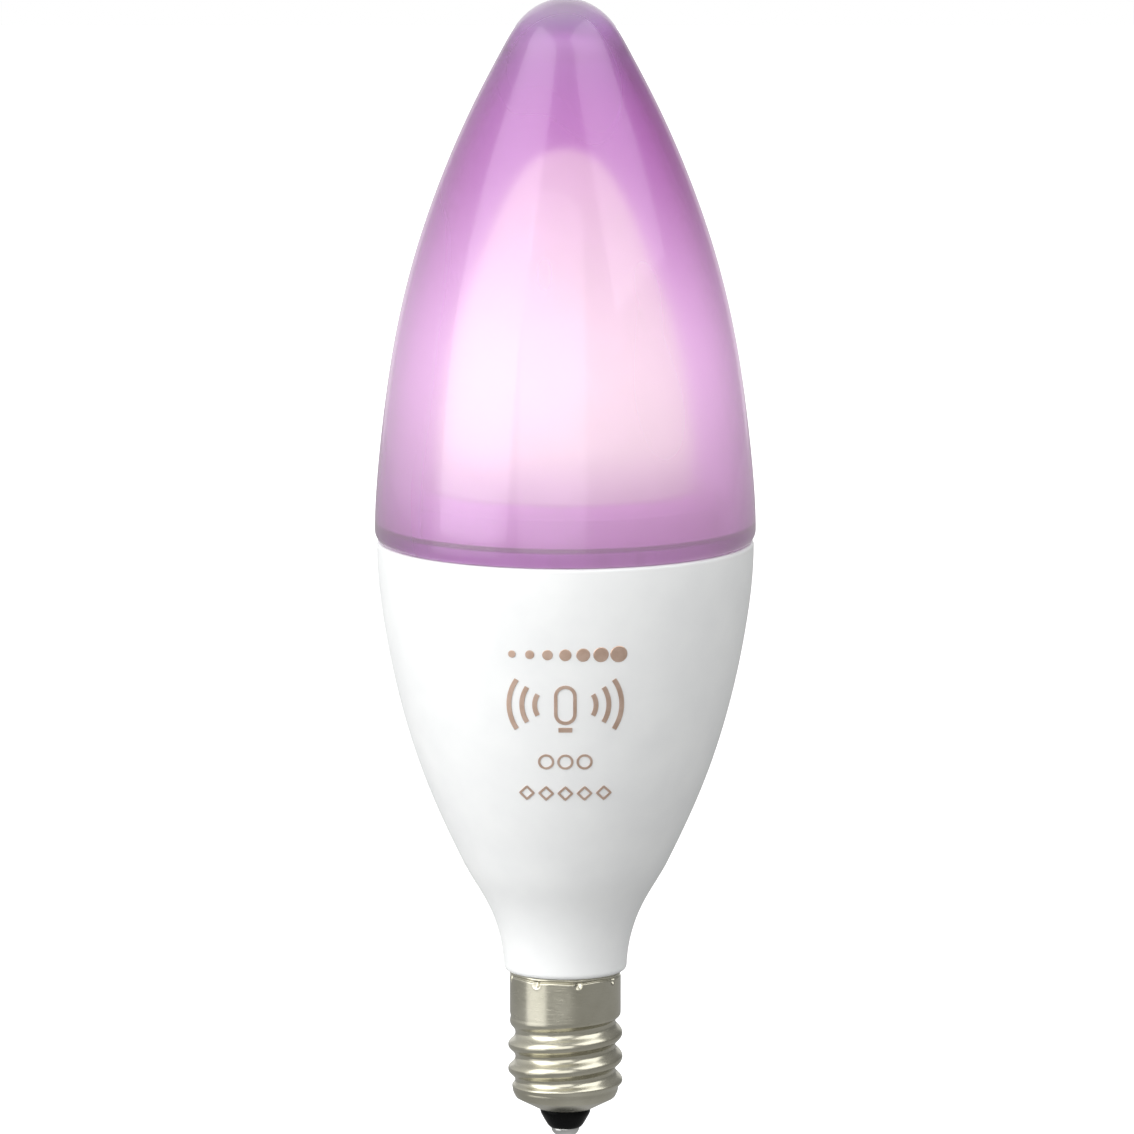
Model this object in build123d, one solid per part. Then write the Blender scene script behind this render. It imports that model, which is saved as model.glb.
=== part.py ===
from build123d import *
from math import cos, exp, hypot, pi, radians, sin, sqrt
import os

# Smart light bulb: candle shape, 39 mm across, on a candelabra (E12) screw cap.
# Frame: millimetres, +Z along the bulb's axis from cap to tip, -Y the printed front.
# The origin is the end of the centre contact, which seats on the lampholder's contact.
# Pieces are listed from the cap upwards: cap, housing, driver, LED board, dome, globe.

# --- screw cap -------------------------------------------------------------------------
THREAD_PITCH = 2.54          # E12: ten threads to the inch
THREAD_CREST_R = 5.90        # E12: 11.8 mm over the crests
THREAD_ROOT_R = 5.17
TOP_CREST_Z = 10.85          # height of the crest that crosses +X near the top
SHEET = 0.25                 # sheet brass of the shell
SKIRT_R = 5.72               # plain band above the threads
SHELL_LIP_R = 2.80           # curled lower edge, round the insulator
SHELL_LIP_Z = 2.92
CURL_KNEE = (5.00, 4.05)
SHELL_CURL_R = 5.45
THREAD_LOW_Z = 5.00          # the thread grows from nothing here
THREAD_FULL_LOW_Z = 5.80     # and is at its full depth between these heights
THREAD_FULL_HIGH_Z = 10.60
THREAD_FADE_Z = 12.15        # the top groove fades out over FADE_H from here up
FADE_H = 0.85
THREAD_HIGH_Z = 13.40        # the plain band starts here
THREAD_LEVELS, THREAD_POINTS = 42, 28    # sections of the loft, and points round each
SEAM_STEP = 0.02             # the rolled thread ends this much inside the plain band
SHELL_TOP_Z = 17.42
CREASE_Z = 17.00             # rolled crease just under the shell's top edge
CREASE_HALF = 0.18
CREASE_DEPTH = 0.12
CRIMP_Z = 16.70              # ring of punched dimples that lock the shell on the neck
CRIMP_COUNT = 8
CRIMP_FIRST_DEG = -76.5
CRIMP_R = 0.50
CRIMP_CENTRE_R = SKIRT_R + 0.22
CRIMP_BULGE_R = 0.82         # relief in the neck behind each dimple
INSULATOR_R = 2.60
INSULATOR_FOOT_R = 1.55
INSULATOR_DISC_R = 4.55      # the disc behind the curl
INSULATOR_TOP_Z = 5.40
CONTACT_R = 1.45
CONTACT_FLAT_R = 0.80
CONTACT_HEAD_H = 0.85
PIN_R = 0.75
PIN_BORE_R = 0.40
PIN_TOP_Z = 5.80
PIN_COLLAR_R = 1.30

# --- housing ---------------------------------------------------------------------------
HOUSING_WALL = 1.50
RIM_Z = 17.45                # lower rim, where the screw cap starts
RIM_R = 6.33
HOUSING_TOP_Z = 62.15
NECK_R = 4.86                # neck inside the threads
NECK_SHOULDER_R = 5.38       # neck inside the plain band
NECK_BORE_R = 4.00
NECK_END_Z = 6.00
MOUTH_R = 17.90              # mouth that takes the globe's spigot
MOUTH_Z = 57.50
NEUTRAL_Y = -1.40            # the neutral lead's groove in the neck
NEUTRAL_R = 0.22
GROOVE_HALF = 0.27
GROOVE_TOP_Z = 10.90
# Outer outline from rim to seam, as (radius, height).
HOUSING_OUTLINE = [
    (6.62, 20.4),
    (8.18, 24.8),
    (10.60, 29.0),
    (14.33, 37.35),
    (16.93, 45.6),
    (18.60, 53.8),
    (19.30, 61.5),
]
WAIST_POINTS = 4             # the rim and the outline's first points make the waist's curve
WAIST_SLOPE = (0.44, 0.898)  # direction where the waist's curve hands over to the belly's
SEAM_EDGE = (19.30, 61.75)   # the rounded edge at the seam starts here

# --- globe -----------------------------------------------------------------------------
GLOBE_R = 19.50              # 39 mm across
GLOBE_WALL = 1.40
GLOBE_FOOT_Z = 62.25
GLOBE_WIDEST_Z = 63.40
TIP_Z = 117.85
TIP_CAVITY_Z = 114.70        # the tip is thick: the cavity stops here in a flat end
TIP_CAVITY_R = 2.90
SHELF_TOP_Z = 63.50
SPIGOT_R = 17.80
SPIGOT_BORE_R = 16.60
SPIGOT_END_Z = 57.70
SNAP_Z = 59.00
SNAP_R = 18.05
SEAL_Z = 61.00
SEAL_H = 0.80
SEAL_R = 18.25
GLOBE_OUTLINE = [
    (19.28, 68.3),
    (18.65, 74.6),
    (17.45, 82.8),
    (15.54, 91.0),
    (12.78, 99.2),
    (9.20, 107.4),
    (6.55, 112.5),
]
TIP_OUTLINE = [(5.38, 114.55), (4.05, 116.20), (2.20, 117.40)]

# --- light engine ----------------------------------------------------------------------
PLATE_BOTTOM_Z = 61.00       # heat spreader
PLATE_TOP_Z = 62.20
PLATE_R = 16.30
PAD_TOP_Z = 62.45
BOARD_TOP_Z = 63.45
BOARD_R = 16.20
SLOT_X, SLOT_Y = 5.80, 2.40  # half sizes of the slot for the radio board and header
LED_COUNT = 12
LED_RING_R = 7.80
LED_SIZE = 2.80
LED_H = 0.70
LED_WINDOW_R = 1.15
LED_WINDOW_DEPTH = 0.25
SCREW_RING_R = 10.60
SCREW_COUNT = 3
SCREW_R = 0.78
SCREW_HEAD_R = 1.25
SCREW_HEAD_H = 0.90
SCREW_END_Z = 60.40
PEG_RING_R = 14.90
PEG_R = 0.60
DOME_WALL = 1.20
DOME_FLANGE_R = 14.00
DOME_FOOT_Z = 63.50
COLLAR_R = 16.20
COLLAR_BORE_R = 13.32
COLLAR_TOP_Z = 67.80
DOME_OUTLINE = [
    (13.20, 68.0),
    (12.50, 77.0),
    (10.95, 84.8),
    (8.30, 92.0),
    (5.20, 98.8),
    (2.90, 101.4),
]
DOME_TIP_Z = 102.30

# --- heat sink and driver --------------------------------------------------------------
CUP_GAP = 0.35               # between the housing's wall and the heat sink cup
CUP_WALL = 1.20
CUP_R = 16.30
SLEEVE_GAP = 0.25
SLEEVE_WALL = 0.50
SLEEVE_TOP_Z = 56.50
CUP_FIRST, CUP_LAST = 2, 5   # the points of the housing's outline that the cup follows
CUP_STRAIGHT_Z = 52.00       # from here up the cup and the sleeve are straight
SKIRT_TUBE_R = 15.05         # spreader's skirt, a push fit inside the cup
SKIRT_TUBE_END_Z = 57.50
DRIVER_HALF = 0.50           # half the thickness of the driver board
DRIVER_OUTLINE = [(12.5, 56.0), (12.5, 50.0), (8.6, 38.0), (5.5, 30.0), (3.3, 26.0), (3.3, 9.0)]
RADIO_FACE_Y = 1.00
RADIO_BACK_Y = 1.80
RADIO_HALF_X = 5.00
RADIO_BOTTOM_Z, RADIO_TOP_Z = 47.0, 71.5
HEADER_PITCH = 1.27
HEADER_PINS = 8


# --- driver parts: boxes are (low x, high x, low y, high y, low z, high z) ----------------
LEAD_R = 0.25                # round leads of the through-hole parts
SHIELD_BOX = (-4.2, 4.2, RADIO_BACK_Y, RADIO_BACK_Y + 1.8, 48.5, 58.0)
SHIELD_SHEET = 0.20
RADIO_CHIP_BOX = (-2.5, 2.5, RADIO_BACK_Y, RADIO_BACK_Y + 0.9, 50.5, 55.5)
RADIO_PIN_XS = (-3.75, -2.25, -0.75, 0.75, 2.25, 3.75)
ANTENNA_HALF_X, ANTENNA_STRIP, ANTENNA_FOIL = 4.2, 0.45, 0.05
ANTENNA_FEED_Z, ANTENNA_FIRST_Z, ANTENNA_ROWS, ANTENNA_PITCH = 59.0, 65.6, 6, 1.0
# Electrolytic capacitors: x, y, can radius, low and high of the can, half the lead spacing.
BULK_CAP = (-4.6, -5.2, 3.86, 43.6, 55.2, 1.5)
OUTPUT_CAP = (5.0, -4.2, 3.00, 46.0, 54.8, 1.0)
CAP_BUNG_H = 0.90
TRANSFORMER_Y = 4.60
CORE_LOW_Z, CORE_HIGH_Z = 37.0, 45.5
CORE_HALF_X, CORE_HALF_Y = 4.2, 2.2
CORE_LIMB = 0.90             # thickness of the core's outer limbs
WINDOW_LOW_Z, WINDOW_HIGH_Z = 38.4, 44.1
LEG_R = 1.45
SPOOL_R = 3.20
CHOKE_Y = -4.30
CHOKE_LOW_Z, CHOKE_HIGH_Z = 34.0, 40.5
CHOKE_LEG_R, CHOKE_FLANGE_R, CHOKE_FLANGE_H = 1.2, 3.0, 0.8
FILM_CAP_BOX = (-3.5, 3.5, 0.9, 4.0, 30.4, 35.4)
VARISTOR_Y, VARISTOR_Z, VARISTOR_R, VARISTOR_T = 2.1, 26.6, 2.7, 2.2
REAR_LEAD_PLACES = [(-2.5, 31.2), (2.5, 31.2), (-1.2, VARISTOR_Z), (1.2, VARISTOR_Z)]
RECTIFIER_BOX = (-2.35, 2.35, -3.0, -0.9, 27.0, 31.0)
RECTIFIER_LEAD_X, RECTIFIER_LEAD_Y = 1.27, -1.7
FUSE_Y = -2.10
FUSE_LOW_Z, FUSE_HIGH_Z, FUSE_CAP_H = 10.2, 17.8, 2.0
FUSE_R, FUSE_CAP_R = 1.15, 1.35
CHIP_X, CHIP_HALF_X, CHIP_LOW_Z, CHIP_HIGH_Z = 9.2, 2.0, 50.2, 55.0
CHIP_LEAD_ZS = (50.7, 51.97, 53.24, 54.5)
DIODE_PLACES = [(10.2, 52.3), (-10.7, 52.3), (5.6, 40.6)]
PASSIVE_ZS = (46.6, 44.4, 42.2, 40.0)

# --- printed mark ----------------------------------------------------------------------
INK_LOW, INK_HIGH = 0.03, 0.09   # heights of the ink's two faces above the housing
DOTS_Z, DOTS_PITCH = 53.30, 1.80
DOT_RADII = (0.38, 0.46, 0.54, 0.62, 0.70, 0.78, 0.86)
LAMP_Z, LAMP_H, LAMP_R, LAMP_STROKE = 48.00, 4.20, 1.15, 0.36
LAMP_BASE_Z = 45.35
WAVE_RADII, WAVE_STROKE = (2.2, 3.5, 4.8), 0.50
WAVE_CENTRE_X = 0.90
RINGS_Z, RINGS_PITCH, RING_R, RING_STROKE = 41.90, 1.95, 0.70, 0.24
GEMS_Z, GEMS_PITCH, GEM_R = 38.45, 1.95, 0.82


# ======================================================================================
# helpers
# ======================================================================================
def inset(outline, wall):
    """The outline, listed upwards as (radius, height), moved inwards by wall, square to itself."""
    moved = []
    for i, (r, z) in enumerate(outline):
        r0, z0 = outline[max(i - 1, 0)]
        r1, z1 = outline[min(i + 1, len(outline) - 1)]
        run = hypot(r1 - r0, z1 - z0)
        moved.append((r - wall * (z1 - z0) / run, z + wall * (r1 - r0) / run))
    return moved


def turned(*runs):
    """The solid that a closed outline of runs, in (radius, height), makes about the Z axis."""
    edges = [edge for run in runs for edge in run.edges()]
    return revolve(Plane.XZ * make_face(edges), Axis.Z)


def lathe(*points):
    """The solid that a straight-sided outline of (radius, height) points makes about the Z axis."""
    return revolve(Plane.XZ * make_face(Polyline(*points, close=True)), Axis.Z)


def ring(inner, outer, low, high):
    return lathe((inner, low), (outer, low), (outer, high), (inner, high))


def block(x0, x1, y0, y1, z0, z1):
    return Pos((x0 + x1) / 2, (y0 + y1) / 2, (z0 + z1) / 2) * Box(x1 - x0, y1 - y0, z1 - z0)


def rod(x, y, low, high, radius):
    """A round rod along Z."""
    return Pos(x, y, (low + high) / 2) * Cylinder(radius, high - low)


def rod_y(x, z, front, back, radius):
    """A round rod along Y."""
    return Pos(x, (front + back) / 2, z) * Rot(90, 0, 0) * Cylinder(radius, back - front)


def tube(x, y, low, high, inner, outer):
    return rod(x, y, low, high, outer) - rod(x, y, low - 1, high + 1, inner)


def wire_solid(points, radius, bend):
    """A round wire along straight runs joined by arcs of radius bend."""
    path = FilletPolyline(*points, radius=bend)
    start = Plane(path @ 0, z_dir=path % 0)
    return sweep(start * Circle(radius), path=path)


def polar(radius, degrees):
    return radius * cos(radians(degrees)), radius * sin(radians(degrees))


def around(count, first_degrees=0.0):
    return [first_degrees + 360.0 * i / count for i in range(count)]


def group(solids):
    """Several separate solids that make one node."""
    return Compound(children=list(solids))


# ======================================================================================
# screw cap
# ======================================================================================
def smooth(z, low, high):
    t = min(1.0, max(0.0, (z - low) / (high - low)))
    return t * t * (3 - 2 * t)


def thread_radius(angle, z):
    """The threaded part's outer radius: a right-hand rounded thread that runs out at both ends."""
    envelope = SHELL_CURL_R
    envelope += (THREAD_CREST_R - SHELL_CURL_R) * smooth(z, THREAD_LOW_Z, THREAD_FULL_LOW_Z)
    envelope -= (THREAD_CREST_R - SKIRT_R + SEAM_STEP) * smooth(z, THREAD_FULL_HIGH_Z, THREAD_FADE_Z)
    depth = envelope - THREAD_ROOT_R
    depth *= smooth(z, THREAD_LOW_Z, THREAD_FULL_LOW_Z)
    depth *= 1 - smooth(z, THREAD_FADE_Z, THREAD_FADE_Z + FADE_H)
    turns = (z - TOP_CREST_Z) / THREAD_PITCH - angle / (2 * pi)
    return envelope - depth * (0.5 - 0.5 * cos(2 * pi * turns))


def thread_body(wall):
    """A loft through closed sections of the threaded part, moved inwards by wall."""
    sections = []
    even = [j / THREAD_POINTS for j in range(THREAD_POINTS + 1)]
    for i in range(THREAD_LEVELS + 1):
        z = THREAD_LOW_Z + (THREAD_HIGH_Z - THREAD_LOW_Z) * i / THREAD_LEVELS
        outline = []
        for j in range(THREAD_POINTS):
            angle = 2 * pi * j / THREAD_POINTS
            radius = thread_radius(angle, z) - wall
            outline.append(Vector(radius * cos(angle), radius * sin(angle), z))
        sections.append(Wire([Edge.make_spline(outline, periodic=True, parameters=even)]))
    return Solid.make_loft(sections)


def crimp_spheres(radius):
    balls = []
    for degrees in around(CRIMP_COUNT, CRIMP_FIRST_DEG):
        x, y = polar(CRIMP_CENTRE_R, degrees)
        balls.append(Pos(x, y, CRIMP_Z) * Sphere(radius))
    return balls


def shell_skirt():
    """Plain band above the threads, with its rolled crease, beaded edge and punched dimples."""
    bore = SKIRT_R - SHEET
    low, high = CREASE_Z - CREASE_HALF, CREASE_Z + CREASE_HALF
    edge = 0.12
    edge_low, edge_top = (SKIRT_R, SHELL_TOP_Z - edge), (SKIRT_R - edge, SHELL_TOP_Z)
    edge_middle = (SKIRT_R - edge / 3, SHELL_TOP_Z - edge / 3)
    band = turned(
        Polyline((bore, SHELL_TOP_Z), (bore, THREAD_HIGH_Z), (SKIRT_R, THREAD_HIGH_Z), (SKIRT_R, low)),
        ThreePointArc((SKIRT_R, low), (SKIRT_R - CREASE_DEPTH, CREASE_Z), (SKIRT_R, high)),
        Line((SKIRT_R, high), edge_low),
        ThreePointArc(edge_low, edge_middle, edge_top),
        Line(edge_top, (bore, SHELL_TOP_Z)),
    )
    limit = ring(bore - 0.6, bore + 0.1, CRIMP_Z - 2, SHELL_TOP_Z)
    for ball in crimp_spheres(CRIMP_R + SHEET):
        band += ball & limit
    for ball in crimp_spheres(CRIMP_R):
        band -= ball
    return band


def shell_curl():
    """Lower edge of the shell, rolled in round the insulator."""
    cone = hypot(CURL_KNEE[0] - SHELL_LIP_R, CURL_KNEE[1] - SHELL_LIP_Z)
    across = SHEET * (CURL_KNEE[1] - SHELL_LIP_Z) / cone
    up = SHEET * (CURL_KNEE[0] - SHELL_LIP_R) / cone
    outer_r = SHELL_CURL_R + SEAM_STEP
    knee_inside = (CURL_KNEE[0] - across, CURL_KNEE[1] + up)
    end, end_inside = (outer_r, THREAD_LOW_Z), (outer_r - SHEET, THREAD_LOW_Z)
    return turned(
        Line((SHELL_LIP_R, SHELL_LIP_Z), CURL_KNEE),
        Spline(CURL_KNEE, end, tangents=[(2.1, 1.3), (0, 1)]),
        Line(end, end_inside),
        Spline(end_inside, knee_inside, tangents=[(0, -1), (-2.1, -1.3)]),
        Polyline(knee_inside, (SHELL_LIP_R - across, SHELL_LIP_Z + up), (SHELL_LIP_R, SHELL_LIP_Z)),
    )


def screw_shell():
    thread = thread_body(0) - thread_body(SHEET)
    return thread + shell_skirt() + shell_curl()


def insulator():
    """Black glass nose and the disc behind it, with the bore for the contact pin."""
    foot = (INSULATOR_FOOT_R, CONTACT_HEAD_H + 0.02)
    waist = (INSULATOR_R, 2.70)
    bore = PIN_R + 0.05
    return turned(
        Polyline(waist, (INSULATOR_R, 3.20), (INSULATOR_DISC_R, 4.30), (INSULATOR_DISC_R, INSULATOR_TOP_Z),
                 (bore, INSULATOR_TOP_Z), (bore, foot[1]), foot),
        Spline(foot, (1.96, 1.35), (2.36, 2.05), waist, tangents=[(1, 0.6), (0, 1)]),
    )


def center_contact():
    """A riveted pin: domed head with a small flat, hollow shank, and the collar it is set with."""
    rim = (CONTACT_R, CONTACT_HEAD_H - 0.1)
    bore_end, collar_z = 2.2, INSULATOR_TOP_Z + 0.02
    return turned(
        Polyline((CONTACT_FLAT_R, 0), (0, 0), (0, bore_end), (PIN_BORE_R, bore_end), (PIN_BORE_R, PIN_TOP_Z),
                 (PIN_COLLAR_R, PIN_TOP_Z), (PIN_COLLAR_R, collar_z), (PIN_R, collar_z),
                 (PIN_R, CONTACT_HEAD_H), (CONTACT_R, CONTACT_HEAD_H), rim),
        ThreePointArc(rim, (1.25, 0.28), (CONTACT_FLAT_R, 0)),
    )


def contact_solder():
    """Fillet of solder round the live lead where it leaves the pin."""
    low, lead_r = PIN_TOP_Z + 0.02, 0.33
    return lathe((lead_r, low), (0.95, low), (0.60, low + 0.48), (lead_r, low + 0.68))


# ======================================================================================
# housing
# ======================================================================================
def neutral_lead_x():
    """Where the neutral lead stands in its groove in the neck."""
    return sqrt((NECK_R - NEUTRAL_R) ** 2 - NEUTRAL_Y**2)


def housing_side(lift):
    """The housing's outer outline from rim to seam, raised by lift, as a waist and a belly curve."""
    points = inset([(RIM_R, RIM_Z + 0.55), *HOUSING_OUTLINE, SEAM_EDGE], -lift)
    waist = Spline(*points[:WAIST_POINTS], tangents=[(0.05, 1), WAIST_SLOPE])
    belly = Spline(*points[WAIST_POINTS - 1:], tangents=[WAIST_SLOPE, (0, 1)])
    return waist, belly


def housing():
    """White outer casing with the neck that goes inside the screw shell."""
    inner = inset(HOUSING_OUTLINE, HOUSING_WALL)
    top_outer = ThreePointArc(SEAM_EDGE, (19.23, 62.02), (19.02, HOUSING_TOP_Z))
    rim_corner = ThreePointArc((5.75, RIM_Z), (6.17, RIM_Z + 0.17), (RIM_R, RIM_Z + 0.55))
    seal_low, seal_high = SEAL_Z - SEAL_H / 2 - 0.02, SEAL_Z + SEAL_H / 2 + 0.02
    mouth = Polyline(
        (19.02, HOUSING_TOP_Z), (MOUTH_R, HOUSING_TOP_Z),
        (MOUTH_R, seal_high), (SEAL_R + 0.05, seal_high),
        (SEAL_R + 0.05, seal_low), (MOUTH_R, seal_low),
        (MOUTH_R, SNAP_Z + 0.6), (SNAP_R + 0.10, SNAP_Z + 0.4),
        (SNAP_R + 0.10, SNAP_Z - 0.4), (MOUTH_R, SNAP_Z - 0.6),
        (MOUTH_R, MOUTH_Z), (17.40, MOUTH_Z),
    )
    inside = Spline((17.40, MOUTH_Z), *reversed(inner[:-1]))
    neck = Polyline(
        inner[0], (NECK_BORE_R, 18.5), (NECK_BORE_R, NECK_END_Z), (NECK_R, NECK_END_Z),
        (NECK_R, 13.3), (NECK_SHOULDER_R, 13.9), (NECK_SHOULDER_R, RIM_Z), (5.75, RIM_Z),
    )
    casing = turned(rim_corner, *housing_side(0), top_outer, mouth, inside, neck)
    for ball in crimp_spheres(CRIMP_BULGE_R):
        casing -= ball
    lead_x = neutral_lead_x()
    groove = block(lead_x - GROOVE_HALF, lead_x + 1.0, NEUTRAL_Y - GROOVE_HALF, NEUTRAL_Y + GROOVE_HALF,
                   NECK_END_Z - 1, GROOVE_TOP_Z)
    return casing - groove


def centred(count, pitch):
    """Places along a row, centred on zero."""
    return [(i - (count - 1) / 2) * pitch for i in range(count)]


def printed_mark():
    """Generic pictogram in ink on the front: dimming dots, a lamp in radio waves, rings and gems."""
    lamp = SlotOverall(LAMP_H, 2 * LAMP_R, rotation=90)
    lamp -= SlotOverall(LAMP_H - 2 * LAMP_STROKE, 2 * (LAMP_R - LAMP_STROKE), rotation=90)
    mark = Pos(0, LAMP_Z) * lamp + Pos(0, LAMP_BASE_Z) * RectangleRounded(1.5, 0.5, 0.2)
    for side in (-1, 1):
        for radius in WAVE_RADII:
            wave = Circle(radius + WAVE_STROKE / 2) - Circle(radius - WAVE_STROKE / 2)
            gate = Pos(side * radius, 0) * Rectangle(radius * 1.1, radius * 1.15)
            mark += Pos(side * WAVE_CENTRE_X, LAMP_Z) * (wave & gate)
    for x, radius in zip(centred(len(DOT_RADII), DOTS_PITCH), DOT_RADII):
        mark += Pos(x, DOTS_Z) * Circle(radius)
    for x in centred(3, RINGS_PITCH):
        mark += Pos(x, RINGS_Z) * (Circle(RING_R + RING_STROKE / 2) - Circle(RING_R - RING_STROKE / 2))
    for x in centred(5, GEMS_PITCH):
        gem = RegularPolygon(GEM_R, 4, rotation=0) - RegularPolygon(GEM_R - RING_STROKE * 1.4, 4, rotation=0)
        mark += Pos(x, GEMS_Z) * gem
    bar = extrude(Plane.XZ * mark, amount=30)
    inner, outer = housing_side(INK_LOW), housing_side(INK_HIGH)
    skin = turned(Line(inner[0] @ 0, outer[0] @ 0), *outer, Line(outer[1] @ 1, inner[1] @ 1), *inner)
    inked = bar & skin
    return group(inked.solids())


# ======================================================================================
# globe, dome and light engine
# ======================================================================================
def globe():
    """Outer candle-shaped diffuser with its spigot, snap bead and thick tip."""
    inner = inset(GLOBE_OUTLINE, GLOBE_WALL)
    foot_edge = ThreePointArc((19.02, GLOBE_FOOT_Z), (19.36, 62.72), (GLOBE_R, GLOBE_WIDEST_Z))
    outside = Spline(
        (GLOBE_R, GLOBE_WIDEST_Z), *GLOBE_OUTLINE, *TIP_OUTLINE, (0, TIP_Z),
        tangents=[(0, 1), (-1, 0)],
    )
    cavity_corner = ThreePointArc((TIP_CAVITY_R, TIP_CAVITY_Z), (4.25, 113.75), inner[-1])
    inside = Spline(*reversed(inner), (GLOBE_R - GLOBE_WALL, SHELF_TOP_Z + 0.6))
    spigot = Polyline(
        (GLOBE_R - GLOBE_WALL, SHELF_TOP_Z + 0.6), (GLOBE_R - GLOBE_WALL - 0.6, SHELF_TOP_Z),
        (SPIGOT_BORE_R, SHELF_TOP_Z), (SPIGOT_BORE_R, SPIGOT_END_Z),
        (SPIGOT_R - 0.25, SPIGOT_END_Z), (SPIGOT_R, SPIGOT_END_Z + 0.4),
        (SPIGOT_R, SNAP_Z - 0.5), (SNAP_R, SNAP_Z - 0.25), (SNAP_R, SNAP_Z + 0.25),
        (SPIGOT_R, SNAP_Z + 0.5), (SPIGOT_R, GLOBE_FOOT_Z), (19.02, GLOBE_FOOT_Z),
    )
    top = Polyline((0, TIP_Z), (0, TIP_CAVITY_Z), (TIP_CAVITY_R, TIP_CAVITY_Z))
    return turned(foot_edge, outside, top, cavity_corner, inside, spigot)


def globe_seal():
    return ring(SPIGOT_R + 0.02, SEAL_R, SEAL_Z - SEAL_H / 2, SEAL_Z + SEAL_H / 2)


def mixing_dome():
    """Inner light-mixing dome with the flange that the collar clamps."""
    inner = inset([(13.20, DOME_FOOT_Z), *DOME_OUTLINE], DOME_WALL)
    outside = Spline(*DOME_OUTLINE, (0, DOME_TIP_Z), tangents=[(0, 1), (-1, 0)])
    crown = (1.0, DOME_TIP_Z - DOME_WALL)
    inside = Spline(crown, *reversed(inner[1:]), tangents=[(1, -0.05), (0, -1)])
    foot = Polyline(
        inner[1], (13.20 - DOME_WALL, DOME_FOOT_Z), (DOME_FLANGE_R, DOME_FOOT_Z),
        (DOME_FLANGE_R, DOME_FOOT_Z + 0.8), (13.20, DOME_FOOT_Z + 0.8), DOME_OUTLINE[0],
    )
    top = Polyline((0, DOME_TIP_Z), (0, DOME_TIP_Z - DOME_WALL), crown)
    return turned(outside, top, inside, foot)


def dome_collar():
    """White ring that clamps the dome's flange and plugs into the heat spreader with three pegs."""
    collar = lathe(
        (DOME_FLANGE_R + 0.1, BOARD_TOP_Z), (COLLAR_R, BOARD_TOP_Z), (COLLAR_R, COLLAR_TOP_Z - 1.2),
        (COLLAR_R - 1.4, COLLAR_TOP_Z), (COLLAR_BORE_R, COLLAR_TOP_Z),
        (COLLAR_BORE_R, DOME_FOOT_Z + 0.9), (DOME_FLANGE_R + 0.1, DOME_FOOT_Z + 0.9),
    )
    for degrees in around(SCREW_COUNT, 30):
        x, y = polar(PEG_RING_R, degrees)
        collar += rod(x, y, PLATE_BOTTOM_Z + 0.3, BOARD_TOP_Z + 0.5, PEG_R)
    return collar


def led_places():
    """Each LED's centre."""
    return [polar(LED_RING_R, degrees) for degrees in around(LED_COUNT)]


def screw_places():
    return [polar(SCREW_RING_R, degrees) for degrees in around(SCREW_COUNT, 15)]


def led_board():
    board = ring(0, BOARD_R, PAD_TOP_Z, BOARD_TOP_Z)
    board -= block(-5.3, 5.3, 0.8, 2.0, PAD_TOP_Z - 1, BOARD_TOP_Z + 1)
    board -= block(-5.0, 5.0, -1.35, -0.35, PAD_TOP_Z - 1, BOARD_TOP_Z + 1)
    for x, y in screw_places():
        board -= rod(x, y, PAD_TOP_Z - 1, BOARD_TOP_Z + 1, 0.90)
    for degrees in around(SCREW_COUNT, 30):
        x, y = polar(PEG_RING_R, degrees)
        board -= rod(x, y, PAD_TOP_Z - 1, BOARD_TOP_Z + 1, PEG_R + 0.06)
    return board


def thermal_pad():
    pad = ring(0, 13.8, PLATE_TOP_Z, PAD_TOP_Z)
    pad -= block(-SLOT_X, SLOT_X, -SLOT_Y, SLOT_Y, PLATE_TOP_Z - 1, PAD_TOP_Z + 1)
    for x, y in screw_places():
        pad -= rod(x, y, PLATE_TOP_Z - 1, PAD_TOP_Z + 1, 1.0)
    return pad


def heat_spreader():
    """Aluminium lid that carries the LED board, with a skirt that pushes into the cup."""
    plate = lathe(
        (0, PLATE_BOTTOM_Z), (SKIRT_TUBE_R - 1.0, PLATE_BOTTOM_Z), (SKIRT_TUBE_R - 1.0, SKIRT_TUBE_END_Z),
        (SKIRT_TUBE_R, SKIRT_TUBE_END_Z), (SKIRT_TUBE_R, PLATE_BOTTOM_Z), (PLATE_R, PLATE_BOTTOM_Z),
        (PLATE_R, PLATE_TOP_Z), (0, PLATE_TOP_Z),
    )
    plate -= block(-SLOT_X, SLOT_X, -SLOT_Y, SLOT_Y, PLATE_BOTTOM_Z - 1, PLATE_TOP_Z + 1)
    for x, y in screw_places():
        plate -= rod(x, y, PLATE_BOTTOM_Z - 1, PLATE_TOP_Z + 1, SCREW_R + 0.02)
    for degrees in around(SCREW_COUNT, 30):
        x, y = polar(PEG_RING_R, degrees)
        plate -= rod(x, y, PLATE_BOTTOM_Z + 0.2, PLATE_TOP_Z + 1, PEG_R + 0.03)
    return plate


def led_board_screws():
    screws = []
    for x, y in screw_places():
        head = rod(x, y, BOARD_TOP_Z, BOARD_TOP_Z + SCREW_HEAD_H, SCREW_HEAD_R)
        recess_top = BOARD_TOP_Z + SCREW_HEAD_H + 0.1
        recess = block(x - 0.8, x + 0.8, y - 0.18, y + 0.18, BOARD_TOP_Z + 0.4, recess_top)
        recess += block(x - 0.18, x + 0.18, y - 0.8, y + 0.8, BOARD_TOP_Z + 0.4, recess_top)
        shank = rod(x, y, SCREW_END_Z, BOARD_TOP_Z + 0.1, SCREW_R)
        screws.append(head + shank - recess)
    return group(screws)


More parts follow.
